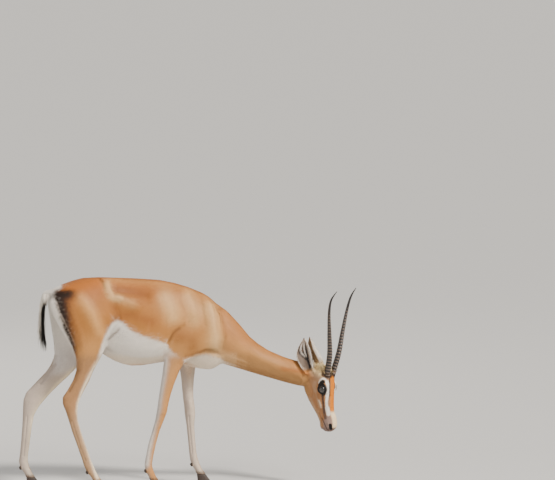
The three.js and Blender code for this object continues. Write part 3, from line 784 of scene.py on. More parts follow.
def signed_side(flat, line):
    """How far points lie to the left of a line, negative to its right, by its nearest length."""
    line = np.array(line, float)
    nearest = np.full(len(flat), np.inf)
    signed = np.zeros(len(flat))
    for start, end in zip(line[:-1], line[1:]):
        run = end - start
        share = np.clip(((flat - start) @ run) / (run @ run), 0, 1)
        away = flat - start - share[:, None] * run
        reach = np.linalg.norm(away, axis=1)
        closer = reach < nearest
        nearest = np.where(closer, reach, nearest)
        signed = np.where(closer, np.sign(run[0] * away[:, 1] - run[1] * away[:, 0]) * reach, signed)
    return signed


# %% Markings of the body
BELLY_EDGE = [  # the white of the belly lies under this line
    (-0.449, 0.372), (-0.394, 0.525), (-0.353, 0.636), (-0.341, 0.660), (-0.317, 0.701), (-0.293, 0.715),
    (-0.269, 0.703), (-0.245, 0.676), (-0.191, 0.651), (-0.137, 0.632), (-0.101, 0.618), (-0.070, 0.581),
    (-0.032, 0.554), (0.022, 0.558), (0.073, 0.567), (0.121, 0.551), (0.154, 0.525), (0.176, 0.459),
]
RUMP_EDGE = [  # the white of the rump lies behind this line
    (-0.498, 0.963), (-0.509, 0.876), (-0.512, 0.843), (-0.542, 0.834), (-0.554, 0.819), (-0.548, 0.797),
    (-0.538, 0.764), (-0.524, 0.721), (-0.510, 0.678), (-0.492, 0.637), (-0.477, 0.594), (-0.467, 0.557),
    (-0.467, 0.503), (-0.481, 0.372),
]
STRIPE_WIDTH = (0.014, 0.056)  # at its lower end and at its top
HIND_LEGS_APART = 0.11  # how far the far thigh stands behind the near one
UNSEEN_SIDE = 0.6  # marks are fainter on the side that the photograph doesn't show
# Coat colours of back and rump, and over the muscles painted highlights and painted shade: pale patches where
# light shines on the coat, dark strokes in creases and hollows.
BODY_COLOURS_HIGHLIGHTS_AND_SHADE = [  # colour, strength, width and the line on the side view
    (tone(190, 112, 48), 0.7, 0.040, [(-0.481, 0.843), (-0.405, 0.870), (-0.350, 0.876)]),
    (tone(226, 164, 98), 0.55, 0.022, [(-0.306, 0.876), (-0.153, 0.870), (0.001, 0.843), (0.110, 0.788)]),
    # painted shade in the crease before the hip bone
    (tone(150, 92, 46), 0.55, 0.006, [(-0.363, 0.881), (-0.349, 0.860), (-0.341, 0.838)]),
    # painted highlight on the hip bone
    (tone(242, 202, 140), 0.55, 0.015,
     [(-0.332, 0.860), (-0.328, 0.831), (-0.315, 0.806), (-0.284, 0.801)]),
    # painted highlight on the cord of the flank
    (tone(242, 202, 140), 0.25, 0.018, [(-0.290, 0.802), (-0.262, 0.793), (-0.232, 0.780)]),
    # painted shade in the flank hollow
    (tone(150, 88, 40), 0.70, 0.018, [(-0.290, 0.834), (-0.240, 0.827), (-0.169, 0.814)]),
    # painted shade in the hollow under the flank
    (tone(154, 90, 40), 0.60, 0.022, [(-0.301, 0.761), (-0.282, 0.731), (-0.235, 0.735), (-0.153, 0.706)]),
    # painted highlight along the front of the thigh
    (tone(228, 174, 108), 0.50, 0.022, [(-0.440, 0.804), (-0.410, 0.761), (-0.381, 0.706), (-0.363, 0.668)]),
    # the stripe's brown fade, darkened further by painted shade on the rear of the thigh
    (tone(116, 66, 32), 0.55, 0.024, [(-0.507, 0.800), (-0.492, 0.740), (-0.472, 0.680), (-0.457, 0.615)]),
    # painted shade in the flank fold
    (tone(128, 82, 46), 0.55, 0.010, [(-0.295, 0.728), (-0.317, 0.692), (-0.335, 0.657)]),
    # painted highlight on the ribs
    (tone(244, 204, 142), 0.43, 0.036, [(-0.094, 0.804), (-0.076, 0.763), (-0.064, 0.727)]),
    # painted highlight on the shoulder blade
    (tone(244, 204, 142), 0.36, 0.032, [(0.001, 0.801), (0.017, 0.765), (0.022, 0.706)]),
    # painted highlight on the front of the shoulder and the root of the neck
    (tone(244, 208, 150), 0.44, 0.030, [(0.086, 0.755), (0.103, 0.700), (0.109, 0.640), (0.106, 0.582)]),
    # painted shade round the elbow, under the shoulder
    (tone(144, 88, 42), 0.65, 0.032, [(-0.043, 0.643), (0.006, 0.629), (0.011, 0.602)]),
    # painted shade along the edge of the triceps
    (tone(112, 70, 40), 0.70, 0.006, [(-0.083, 0.626), (-0.062, 0.663), (-0.038, 0.676)]),
    # painted shade along the lower edge of the shoulder, over the breast
    (tone(128, 82, 48), 0.60, 0.006, [(-0.018, 0.558), (0.025, 0.570), (0.073, 0.585), (0.128, 0.566)]),
    (tone(190, 130, 76), 0.50, 0.030, [(0.154, 0.700), (0.170, 0.635), (0.176, 0.569)]),
]
FORELEG_BACK = [
    (-0.094, 0.602), (-0.103, 0.530), (-0.112, 0.469), (-0.124, 0.403), (-0.135, 0.336), (-0.148, 0.282),
    (-0.160, 0.221), (-0.172, 0.167), (-0.180, 0.112),
]
# The pale lines are partly the white hair of the inner side seen past the front edge, partly a painted
# highlight along it.
LEG_FRONTS = [  # the pale line down the front of each hind leg, near and far
    (RIGHT, [
        (-0.350, 0.580), (-0.389, 0.529), (-0.418, 0.475), (-0.443, 0.424), (-0.460, 0.370), (-0.463, 0.342),
        (-0.457, 0.300), (-0.440, 0.239), (-0.420, 0.178), (-0.403, 0.123), (-0.383, 0.060),
    ]),
    (LEFT, [
        (-0.457, 0.503), (-0.539, 0.428), (-0.590, 0.372), (-0.614, 0.338), (-0.637, 0.290), (-0.647, 0.220),
        (-0.656, 0.120), (-0.634, 0.060),
    ]),
]


def find_dewclaws(points):
    """The rearmost point of each leg's two dewclaws."""
    found = []
    for leg in LEGS:
        low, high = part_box(leg + "_lower")
        middle = (low.y + high.y) / 2
        for side in (-1, 1):
            off = (points[:, 1] - middle) * side
            near = (points[:, 2] > 0.072) & (points[:, 2] < 0.092) & (off > 0.003) & (off < 0.03)
            near &= (points[:, 0] > low.x) & (points[:, 0] < high.x)
            chosen = points[near]
            found.append(chosen[chosen[:, 0].argmin()])
    return np.array(found)


DEWCLAWS = find_dewclaws(points_of(skin))
print("body:", len(BODY_COLOURS_HIGHLIGHTS_AND_SHADE), "marks and", len(DEWCLAWS), "dewclaws found")

# %% Paint trunk and belly


def inner_side(points, normals):
    """1 where a leg's skin faces the other legs, 0 where it faces outwards."""
    side = np.sign(points[:, 1] - MIDDLE_Y)
    return ramp(0.05, 0.60, -normals[:, 1] * side)


def trunk_colours(paint, points, normals):
    """Paints back, flanks and neck, with painted highlights and painted shade over their muscles."""
    x, y, z = points.T
    flat = points[:, [0, 2]]
    facing = ramp(0.05, 0.45, np.abs(normals[:, 1]))
    paint.over(SAND, 0.55 * (1 - ramp(0.60, 0.70, z)))
    paint.over(RUFOUS, 0.75 * ramp(0.74, 0.87, z + 0.02 * normals[:, 2]))
    on_neck = ramp(0.06, 0.16, x)
    neck_over = signed_side(flat, [(0.10, 0.66), (0.25, 0.565), (0.40, 0.505), (0.52, 0.455)])
    paint.over(THROAT, on_neck * ramp(0.03, -0.05, neck_over))
    paint.over(NECK_TOP, on_neck * ramp(-0.01, 0.04, neck_over))
    paint.over(RUFOUS, 0.6 * stroke(flat, 0.010, [(0.395, 0.492), (0.455, 0.482), (0.500, 0.470)]))
    # coat colours, painted highlights and painted shade, fainter on the far side
    for colour, strength, width, line in BODY_COLOURS_HIGHLIGHTS_AND_SHADE:
        strong = np.where(y < MIDDLE_Y, strength, UNSEEN_SIDE * strength)
        paint.over(colour, strong * facing * stroke(flat, width, smooth_path(line, 2 * len(line) + 1)))


def belly_colours(paint, points, normals):
    """Paints the white belly, the painted shadow of the flank's fold over it, and a painted warm reflection
    along its bottom.
    """
    x, y, z = points.T
    flat = points[:, [0, 2]]
    facing = ramp(0.05, 0.45, np.abs(normals[:, 1]))
    under_edge = -signed_side(flat, BELLY_EDGE)
    paint.over(WHITE, ramp(-0.005, 0.006, under_edge) * (x < 0.17) * (z > 0.40))
    # painted shadow of the flank's fold on the white belly
    fold = stroke(flat, 0.0045, [(-0.329, 0.633), (-0.307, 0.658), (-0.286, 0.679)])
    paint.over(tone(104, 78, 60), 0.75 * facing * fold)
    # painted reflection of warm light from below, tinting the bottom of the belly
    warm_reflection = ramp(0.580, 0.553, z) * (x > -0.40) * (x < 0.2) * (np.abs(y - MIDDLE_Y) < 0.08)
    paint.over(tone(226, 190, 140), 0.35 * warm_reflection)


print("trunk and belly: white under a line of", len(BELLY_EDGE), "points")

# %% Paint legs and rump


def on_legs(points):
    """1 on the legs, 0 on belly, breast and trunk, whose undersides reach as low as the legs' tops."""
    x, y, z = points.T
    right = y < MIDDLE_Y
    breast = np.where(right, ramp(-0.030, -0.018, x), ramp(0.070, 0.085, x))
    breast = np.maximum(breast, ramp(0.050, 0.040, np.abs(y - MIDDLE_Y)) * (x > -0.03))
    belly_end = np.where(right, -0.365, -0.42)
    elbow = np.where(right, -0.105, -0.025)
    belly = ramp(-0.008, 0.008, x - belly_end) * ramp(0.010, -0.010, x - elbow) * ramp(0.512, 0.528, z)
    return ramp(0.600, 0.545, z) * (x < 0.3) * (1 - np.maximum(breast, belly))


def leg_colours(paint, points, normals):
    """Paints the legs: tan outside, pale inside with painted shade where the inner sides face back, darker at
    the hooves, with pale front lines on the hind legs that are partly painted highlight.
    """
    x, y, z = points.T
    flat = points[:, [0, 2]]
    right = y < MIDDLE_Y
    hind = x < -0.28
    leg = on_legs(points)
    inside = inner_side(points, normals)
    outer = tone(168, 122, 80) * hind[:, None] + tone(192, 138, 86) * ~hind[:, None]
    paint.over(outer, leg)
    paint.over(tone(178, 146, 112), 0.6 * leg * ramp(0.38, 0.25, z) * hind)
    paint.over(tone(196, 134, 70), 0.6 * leg * ramp(-0.2, 0.5, normals[:, 0]) * ~hind)
    paint.over(tone(190, 168, 150), 0.85 * leg * ramp(0.1, 0.8, -normals[:, 0]) * ~hind)
    paint.over(tone(214, 204, 194), 0.9 * leg * right * ~hind * stroke(flat, 0.013, FORELEG_BACK))
    paint.over(LEG_INSIDE, 0.95 * leg * inside)
    # painted shade greys the inner sides where they face back
    paint.over(tone(178, 160, 148), 0.7 * leg * inside * ramp(0.3, -0.3, normals[:, 0]))
    # pale front lines of the hind legs: white hair with a painted highlight
    for side, line in LEG_FRONTS:
        on_side = np.sign(y - MIDDLE_Y) == side
        paint.over(tone(242, 222, 190), on_side * leg * stroke(flat, 0.0070, line))
    paint.over(tone(84, 62, 46), 0.8 * ramp(0.062, 0.048, z))
    for place in DEWCLAWS:
        paint.over(tone(52, 40, 33), ramp(0.0125, 0.009, np.linalg.norm(points - place, axis=1)))


def rump_colours(paint, points, normals):
    """Paints the white rump and the dark stripe down its edge, and greys the white low between the thighs as
    painted shade.
    """
    x, y, z = points.T
    beside = np.abs(y - MIDDLE_Y)
    inside = inner_side(points, normals)
    flat = points[:, [0, 2]]
    as_right = flat + np.outer((y > MIDDLE_Y) * HIND_LEGS_APART * ramp(0.74, 0.52, z), [1, 0])
    behind = signed_side(as_right, RUMP_EDGE[::-1])
    narrow, wide = STRIPE_WIDTH
    width = narrow + (wide - narrow) * np.clip((z - 0.60) / 0.20, 0, 1)
    stripe = ramp(0.002, -0.002, behind) * ramp(0.550, 0.630, z) * ramp(0.846, 0.826, z) * (x < -0.40)
    stripe = stripe * (1 - ramp(0.3, 0.8, inside)) * (beside > 0.020)
    paint.over(tone(88, 50, 24), 0.85 * stripe * ramp(1.45, 0.60, -behind / width))
    paint.over(DARK, 0.97 * stripe * ramp(1.05, 0.45, -behind / width))
    white = ramp(-0.003, 0.003, behind) * ramp(0.51, 0.56, z) * (x < -0.40)
    white = np.maximum(white, inside * ramp(0.81, 0.77, z) * ramp(0.50, 0.56, z) * (x < -0.42))
    half_gap = 0.026 + 0.022 * ramp(0.72, 0.64, z)
    between = ramp(0.010, 0.0, beside - half_gap) * ramp(0.83, 0.80, z) * ramp(0.46, 0.50, z) * (x < -0.34)
    white = np.maximum(white, between)
    paint.over(WHITE, white)
    # painted shade greys the white low between and inside the thighs
    paint.over(tone(196, 184, 180), 0.55 * white * ramp(0.66, 0.54, z))


def body_colours(paint, points, normals):
    """Paints trunk, belly, legs and rump, in this order."""
    trunk_colours(paint, points, normals)
    belly_colours(paint, points, normals)
    leg_colours(paint, points, normals)
    rump_colours(paint, points, normals)


leg_points = int((on_legs(points_of(skin)) > 0.5).sum())
print("legs:", leg_points, "of the skin's", len(skin.data.vertices), "points")

# %% [markdown]
# ## Face and ears
# Dark lines run from the eye to the nose on both sides of a rufous blaze, with white between them. The
# lines are given as the photograph sees the right side of the face, and the left side mirrors them. An
# ear's stripes fan out from its root, so they are given by how far round the ear they lie.

# %% Markings of the face
QUARTER_ACROSS = 0.507  # the photograph sees the face half from the side
QUARTER_OUT = 0.862
FACE_MARKS_AND_HIGHLIGHT = [  # colour, strength, width and the line in the quarter view, metres to the right and down
    # a faint painted highlight along the rear edge of the orbit
    (tone(196, 168, 138), 0.30, 0.007, [(-0.073, 0.030), (-0.075, 0.045), (-0.071, 0.066)]),
    (tone(70, 46, 30), 0.9, 0.0065, [(-0.041, -0.004), (-0.031, 0.001), (-0.020, 0.004)]),
    (FACE_WHITE, 1.0, 0.0036,
     [(-0.055, 0.030), (-0.048, 0.017), (-0.040, 0.0115), (-0.031, 0.0135), (-0.024, 0.022)]),
    (FACE_WHITE, 1.0, 0.0065, [(-0.0225, 0.026), (-0.0180, 0.040), (-0.0185, 0.060), (-0.0225, 0.084)]),
    (FACE_WHITE, 1.0, 0.0050, [(-0.021, 0.084), (-0.025, 0.109), (-0.023, 0.132)]),
    (FACE_WHITE, 1.0, 0.0080, [(-0.022, 0.136), (-0.017, 0.160)]),
    (tone(226, 204, 176), 0.7, 0.0028, [(-0.057, 0.104), (-0.052, 0.115), (-0.047, 0.134)]),
    (tone(26, 18, 16), 1.0, 0.0056,
     [(-0.0545, 0.040), (-0.0490, 0.028), (-0.0415, 0.0215), (-0.0370, 0.0250)]),
    (tone(30, 21, 18), 0.95, 0.0040, [(-0.0480, 0.070), (-0.0410, 0.0770)]),
    (tone(70, 48, 38), 0.9, 0.0045, [(-0.041, 0.075), (-0.040, 0.104), (-0.037, 0.128), (-0.033, 0.156)]),
    (tone(84, 62, 50), 0.8, 0.0055, [(-0.036, 0.140), (-0.033, 0.160), (-0.030, 0.178)]),
    (tone(62, 40, 26), 0.9, 0.0026, [(-0.0125, 0.004), (-0.0120, 0.045), (-0.0115, 0.085)]),
    (tone(46, 30, 20), 0.95, 0.0095, [(-0.024, -0.004), (-0.010, 0.002)]),
    (tone(96, 66, 34), 0.8, 0.0030, [(-0.064, -0.046), (-0.043, -0.043), (-0.026, -0.026)]),
]
NOSTRIL_LINE = [(0.206, 0.0205, 0.001), (0.214, 0.0180, 0.001), (0.220, 0.0135, 0.000)]
LIP_LINE = [(-0.043, 0.179), (-0.0346, 0.198), (-0.0235, 0.223), (-0.015, 0.2285)]


def quarter_view(local):
    """Where the photograph would see each point of the face, if all of it were her right side."""
    right = -np.abs(local[:, 1]) * QUARTER_ACROSS + local[:, 2] * QUARTER_OUT
    return np.stack([right, local[:, 0]], axis=1)


def face_colours(paint, points, normals):
    """Paints the head without its ears."""
    local = on_face(points)
    seen = quarter_view(local)
    right, down = seen.T
    middle = np.abs(local[:, 1])
    head = ramp(0.485, 0.515, points[:, 0]) * (down > -0.12)
    front = np.clip(normals @ FACE_OUT, -1, 1)
    paint.over(CHEEK, head)
    paint.over(tone(196, 164, 132), 0.6 * head * ramp(0.0, -0.5, front))
    paint.over(tone(168, 140, 112), 0.6 * head * stroke(seen, 0.022, [(-0.075, -0.02), (-0.055, 0.010)]))
    crown = stroke(seen, 0.024, [(-0.066, -0.040), (-0.044, -0.020)])
    paint.over(CREAM, 0.95 * head * crown * ramp(0.02, -0.01, down))
    paint.over(CREAM, head * ramp(0.016, 0.008, middle) * ramp(0.004, -0.006, down) * (front > -0.4))
    blaze = ramp(0.0165, 0.0140, middle) * ramp(0.0, 0.006, down) * ramp(0.158, 0.146, down) * (front > 0.2)
    paint.over(BLAZE, head * blaze)
    bridge = ramp(0.019, 0.015, middle) * ramp(0.146, 0.158, down) * ramp(0.226, 0.216, down) * (front > 0.1)
    paint.over(BRIDGE, head * bridge)
    muzzle = np.hypot((right + 0.018) / 0.019, (down - 0.200) / 0.033)
    paint.over(MUZZLE, head * ramp(1.15, 0.85, muzzle) * (1 - bridge))
    paint.over(tone(128, 104, 94), head * ramp(0.212, 0.224, down))
    for colour, strength, width, line in FACE_MARKS_AND_HIGHLIGHT:
        mark = ramp(0.25, 0.75, stroke(seen, width * 1.25, line))
        paint.over(colour, head * strength * mark * (front > -0.75))
    paint.over(tone(58, 40, 36), 0.85 * head * ramp(0.3, 0.8, stroke(seen, 0.0024, LIP_LINE)))
    near_nostril = distance_to_line(np.column_stack([local[:, 0], middle, local[:, 2]]), NOSTRIL_LINE)
    paint.over(tone(12, 9, 8), head * ramp(0.0088, 0.0064, near_nostril))
    for word in eyes:
        edge, outward = almond(word, points)
        rim = ramp(1.70, 1.40, edge) * outward * (np.linalg.norm(points - eyes[word], axis=1) < 0.032)
        paint.over(tone(20, 14, 12), head * rim)


print("face:", len(FACE_MARKS_AND_HIGHLIGHT), "marks on each side")

# %% Markings of the ears
EAR_STRIPES = (-0.68, -0.14, 0.30)  # from the rear rim, -1, to the front rim, 1
EAR_LINES = (-0.42, 0.08)  # the white lines between the dark stripes
STRIPES_MEET = 0.28  # where round the ear they start at its root


def ear_place(word, points, normals):
    """How far up one ear a point is, how far round to its front, how much inside, and if it is on the ear."""
    plan = ear_plans[word]
    share = (points - plan.root) @ plan.axis / EAR_LENGTH
    moved = points - plan.middle(share)
    roll = plan.roll(np.clip(share, 0, 1))
    half = np.maximum(plan.half(np.clip(share, 0, 1)), 0.004)
    radius = half / np.sin(np.minimum(roll, STEEPEST_ROLL))
    side, height = moved @ plan.across, moved @ plan.face - HOLLOW_SHARE * radius
    reach = np.maximum(np.hypot(side, height), 1e-6)
    front = np.arctan2(side, -height) / roll * (1 if word == "right" else -1)
    inside = -(normals @ plan.across * side + normals @ plan.face * height) / reach
    middle = plan.root + plan.axis * EAR_LENGTH / 2
    away = np.ones(len(points))
    close = np.linalg.norm(points - middle, axis=1) < 0.65 * EAR_LENGTH
    for number in np.flatnonzero(close).tolist():
        away[number] = ear_trees[word].find_nearest(points[number].tolist())[3]
    return share, front, inside, ramp(0.0060, 0.0035, away)


def ear_colours(paint, points, normals):
    """Paints both ears, striped inside and olive with a pale edge outside."""
    for word in ear_plans:
        share, front, inside, here = ear_place(word, points, normals)
        here = here * ramp(0.08, 0.18, share)
        fan = ramp(0.30, 0.70, share)
        inside = here * ramp(-0.15, 0.15, inside)
        paint.over(OLIVE, here * 0.9)
        paint.over(tone(168, 138, 102), here * ramp(0.38, 0.18, share) * 0.85)
        paint.over(tone(138, 118, 102), inside)
        for line in EAR_LINES:
            place = STRIPES_MEET + (line - STRIPES_MEET) * fan
            pale = ramp(0.13, 0.04, np.abs(front - place))
            pale = pale * ramp(0.92, 0.78, share) * ramp(0.36, 0.46, share)
            paint.over(tone(222, 210, 202), 0.85 * inside * pale)
        for line in EAR_STRIPES:
            place = STRIPES_MEET + (line - STRIPES_MEET) * fan
            dark = ramp(0.17, 0.06, np.abs(front - place))
            dark = dark * ramp(0.88, 0.70, share) * ramp(0.05, 0.15, share)
            paint.over(tone(34, 26, 24), inside * dark * 0.95)
        rim = np.maximum(ramp(0.52, 0.66, front), ramp(-0.86, -0.94, front))
        paint.over(FACE_WHITE, here * rim * ramp(0.98, 0.90, share))
        paint.over(tone(60, 48, 40), here * ramp(0.92, 0.98, share) * 0.7)


print("ears:", len(EAR_STRIPES), "dark stripes and", len(EAR_LINES), "white lines inside each")

# %% Paint the skin
TONE = "tone"  # the colour attribute's name


def keep_colours(piece, rows):
    """Stores a colour for every vertex of a piece."""
    kept = piece.data.color_attributes.new(TONE, "FLOAT_COLOR", "POINT")
    full = np.column_stack([rows, np.ones(len(rows))]).astype(np.float32)
    kept.data.foreach_set("color", full.ravel())


def coat_paint(points, normals):
    """The coat's paint at any points of the skin."""
    paint = Paint(len(points), FAWN)
    body_colours(paint, points, normals)
    face_colours(paint, points, normals)
    ear_colours(paint, points, normals)
    return paint


skin_points, skin_normals = points_of(skin), normals_of(skin)
skin_paint = coat_paint(skin_points, skin_normals)
tail_part = (skin_points[:, 0] < -0.575) & (skin_points[:, 2] > 0.56)
skin_paint.over(DARK, tail_part * ramp(0.79, 0.75, skin_points[:, 2]))
keep_colours(skin, skin_paint.rows)
print("skin painted:", len(skin_points), "points")

# %% [markdown]
# ## The skin's material
# The painted colours do most of the work. Noise drawn out into hairs makes them lighter and darker, and
# the same noise feeds a bump, so that the skin between the tufts looks like short hair too. A small class
# lets the shader's maths be written as sums.

# %% Shader maths


class Wire:
    """A shader value: it adds, subtracts, multiplies and divides like a number."""

    tree = None

    def __init__(self, socket):
        self.socket = socket

    @classmethod
    def node(cls, kind, inputs, output=0, **settings):
        """Adds a node, sets it and returns one of its outputs."""
        made = cls.tree.nodes.new(kind)
        for name, value in settings.items():
            setattr(made, name, value)
        for name, value in inputs.items():
            if isinstance(value, cls):
                cls.tree.links.new(value.socket, made.inputs[name])
            else:
                made.inputs[name].default_value = value
        return cls(made.outputs[output])

    def maths(self, operation, first, second):
        """One Math node."""
        return Wire.node("ShaderNodeMath", {0: first, 1: second}, operation=operation)

    def __add__(self, other):
        return self.maths("ADD", self, other)

    def __sub__(self, other):
        return self.maths("SUBTRACT", self, other)

    def __mul__(self, other):
        return self.maths("MULTIPLY", self, other)

    def __rsub__(self, other):
        return self.maths("SUBTRACT", other, self)

    def __truediv__(self, other):
        return self.maths("DIVIDE", self, other)

    def __rtruediv__(self, other):
        return self.maths("DIVIDE", other, self)

    __radd__ = __add__
    __rmul__ = __mul__


def material(name, **constants):
    """A material whose shader has the given constants. Its wires are added afterwards."""
    made = bpy.data.materials.new(name)
    made.use_nodes = True
    Wire.tree = made.node_tree
    shader = made.node_tree.nodes["Principled BSDF"]
    for socket, value in constants.items():
        shader.inputs[socket.replace("_", " ")].default_value = value
    return made, shader


def attach(wire, shader, socket):
    """Leads a wire into a socket of the shader."""
    Wire.tree.links.new(wire.socket, shader.inputs[socket])


def stretched_noise(stretch, scale, detail=3):
    """Noise in the piece's own coordinates, drawn out into hairs."""
    place = Wire.node("ShaderNodeTexCoord", {}, output="Object")
    drawn = Wire.node("ShaderNodeMapping", {"Vector": place, "Scale": stretch})
    return Wire.node("ShaderNodeTexNoise", {"Vector": drawn, "Scale": scale, "Detail": detail})


def brightened(colour, factor):
    """A colour made lighter or darker by a wire."""
    return Wire.node("ShaderNodeVectorMath", {0: colour, "Scale": factor}, operation="SCALE")


print("shader maths: +, -, * and / on shader values")

# %% Skin material
coat_material, shader = material("coat", Roughness=0.6, Specular_IOR_Level=0.3)
painted = Wire.node("ShaderNodeAttribute", {}, output="Color", attribute_name=TONE)
streaks = stretched_noise((0.25, 1, 0.5), 420)
patches = stretched_noise((1, 1, 1), 22)
attach(brightened(painted, 0.72 + streaks * 0.35 + patches * 0.22), shader, "Base Color")
relief = Wire.node("ShaderNodeBump", {"Strength": 0.35, "Distance": 0.0008, "Height": streaks})
attach(relief, shader, "Normal")
skin.data.materials.clear()
skin.data.materials.append(coat_material)
print("coat material:", len(coat_material.node_tree.nodes), "nodes")

# %% [markdown]
# ## The coat
# Her coat is short and lies flat, so most of it is colour and bump. What the bump can't give is how it
# breaks the outline, and for that there are real tufts: thin closed spikes that follow the lie of the
# coat, longest on the rump and shortest on the face. They are made as arrays, because there are many
# thousands, and a seed keeps them in place. They shade as the skin under them does, so the coat looks
# smooth, and they need places on an unwrap of the skin, because their colour is baked there.

# %% Unwrap of the skin
only(skin)
bpy.ops.object.mode_set(mode="EDIT")
bpy.ops.mesh.select_all(action="SELECT")
bpy.ops.uv.smart_project(angle_limit=math.radians(60), island_margin=0.003)
bpy.ops.object.mode_set(mode="OBJECT")
skin.data.uv_layers.active.name = "OFBake"
print("unwrap:", len(skin.data.uv_layers.active.data), "corners placed")

# %% Lie of the coat
LIE_BACK = np.array([-0.85, 0, -0.45])
LIE_NECK = np.array([-0.82, 0, 0.42])
LIE_LEG = np.array([-0.15, 0, -1.0])
LIE_FACE = -FACE_LENGTHWISE - 0.35 * FACE_OUT
TINY = 1e-6  # keeps a length from being zero where it divides


def lie_of_coat(points, normals):
    """The way the hair lies at each point, along the skin."""
    x, z = points[:, 0], points[:, 2]
    on_neck = ramp(0.06, 0.20, x)[:, None]
    on_leg = (ramp(0.66, 0.52, z) * (x < 0.25))[:, None]
    on_head = ramp(0.475, 0.515, x)[:, None]
    way = LIE_BACK * (1 - on_neck) + LIE_NECK * on_neck
    way = way * (1 - on_leg) + LIE_LEG * on_leg
    way = way * (1 - on_head) + LIE_FACE * on_head
    for plan in ear_plans.values():
        share = (points - plan.root) @ plan.axis / EAR_LENGTH
        near = np.linalg.norm(points - plan.middle(share), axis=1) < 0.045
        on_ear = (ramp(0.05, 0.20, share) * near * (x > 0.42))[:, None]
        way = way * (1 - on_ear) + plan.axis * on_ear
    way = way - normals * (way * normals).sum(1)[:, None]
    return way / np.maximum(np.linalg.norm(way, axis=1), TINY)[:, None]


print("lie: back over the trunk, down the legs, up the face")

# %% The skin's triangles
SEED = 41

skin.data.calc_loop_triangles()
TRIANGLES = len(skin.data.loop_triangles)
corners = np.empty(TRIANGLES * 3, np.int32)
skin.data.loop_triangles.foreach_get("vertices", corners)
corners = corners.reshape(-1, 3)
corner_loops = np.empty(TRIANGLES * 3, np.int32)
skin.data.loop_triangles.foreach_get("loops", corner_loops)
corner_loops = corner_loops.reshape(-1, 3)
skin_uv = np.empty(len(skin.data.loops) * 2, np.float32)
skin.data.uv_layers["OFBake"].data.foreach_get("uv", skin_uv)
skin_uv = skin_uv.reshape(-1, 2)
skin_points, skin_normals = points_of(skin), normals_of(skin)
triangle_middles = skin_points[corners].mean(1)
first_corner, second_corner, third_corner = (skin_points[corners[:, k]] for k in range(3))
crossed = np.cross(second_corner - first_corner, third_corner - first_corner)
triangle_areas = 0.5 * np.linalg.norm(crossed, axis=1)
chance = np.random.default_rng(SEED)
print("skin:", round(float(triangle_areas.sum()), 2), "square metres to grow hair on")

# %% Roots of the hair


def scatter(count, weight):
    """Random roots on the skin: places, normals and places on the unwrap."""
    share = triangle_areas * weight
    chosen = chance.choice(TRIANGLES, count, p=share / share.sum())
    first, second = chance.random((2, count))
    fold = first + second > 1
    first, second = np.where(fold, 1 - first, first), np.where(fold, 1 - second, second)
    parts = np.stack([1 - first - second, first, second], axis=1)[:, :, None]
    places = (skin_points[corners[chosen]] * parts).sum(1)
    normals = (skin_normals[corners[chosen]] * parts).sum(1)
    normals /= np.maximum(np.linalg.norm(normals, axis=1), TINY)[:, None]
    return places, normals, (skin_uv[corner_loops[chosen]] * parts).sum(1)


def mesh_from_arrays(name, places, faces, uv, colours, normals=None):
    """A piece from rows of places, corner numbers, corner places on the unwrap, colours and normals."""
    mesh = bpy.data.meshes.new(name)
    mesh.vertices.add(len(places))
    mesh.vertices.foreach_set("co", places.astype(np.float32).ravel())
    mesh.loops.add(faces.size)
    mesh.loops.foreach_set("vertex_index", faces.astype(np.int32).ravel())
    mesh.polygons.add(len(faces))
    mesh.polygons.foreach_set("loop_start", np.arange(0, faces.size, 3, dtype=np.int32))
    mesh.update(calc_edges=True)
    layer = mesh.uv_layers.new(name="OFBake")
    layer.data.foreach_set("uv", uv.astype(np.float32).ravel())
    made = bpy.data.objects.new(name, mesh)
    bpy.context.scene.collection.objects.link(made)
    keep_colours(made, colours)
    only(made)
    bpy.ops.object.shade_smooth()
    if normals is not None:
        mesh.normals_split_custom_set_from_vertices(normals.astype(np.float32))
    return made


skin_tree = BVHTree.FromPolygons(skin_points.tolist(), corners.tolist())


def hug(tips, rise):
    """Brings each tip to its height over the nearest skin."""
    for number, tip in enumerate(tips.tolist()):
        place, normal, _, _ = skin_tree.find_nearest(tip)
        tips[number] = place + normal * rise[number]
    return tips


print("roots: drawn with seed", SEED, "on", TRIANGLES, "triangles")

# %% Tufts
PATCH = 0.003  # how much of the unwrap a tuft covers
SUNK = 0.0003  # how deep its root is
LOCK_SWELL = (0.55, 1.0, 0.85, 0.6, 0.4)  # width of a long lock at each ring
TIP_LIGHTER = 0.10


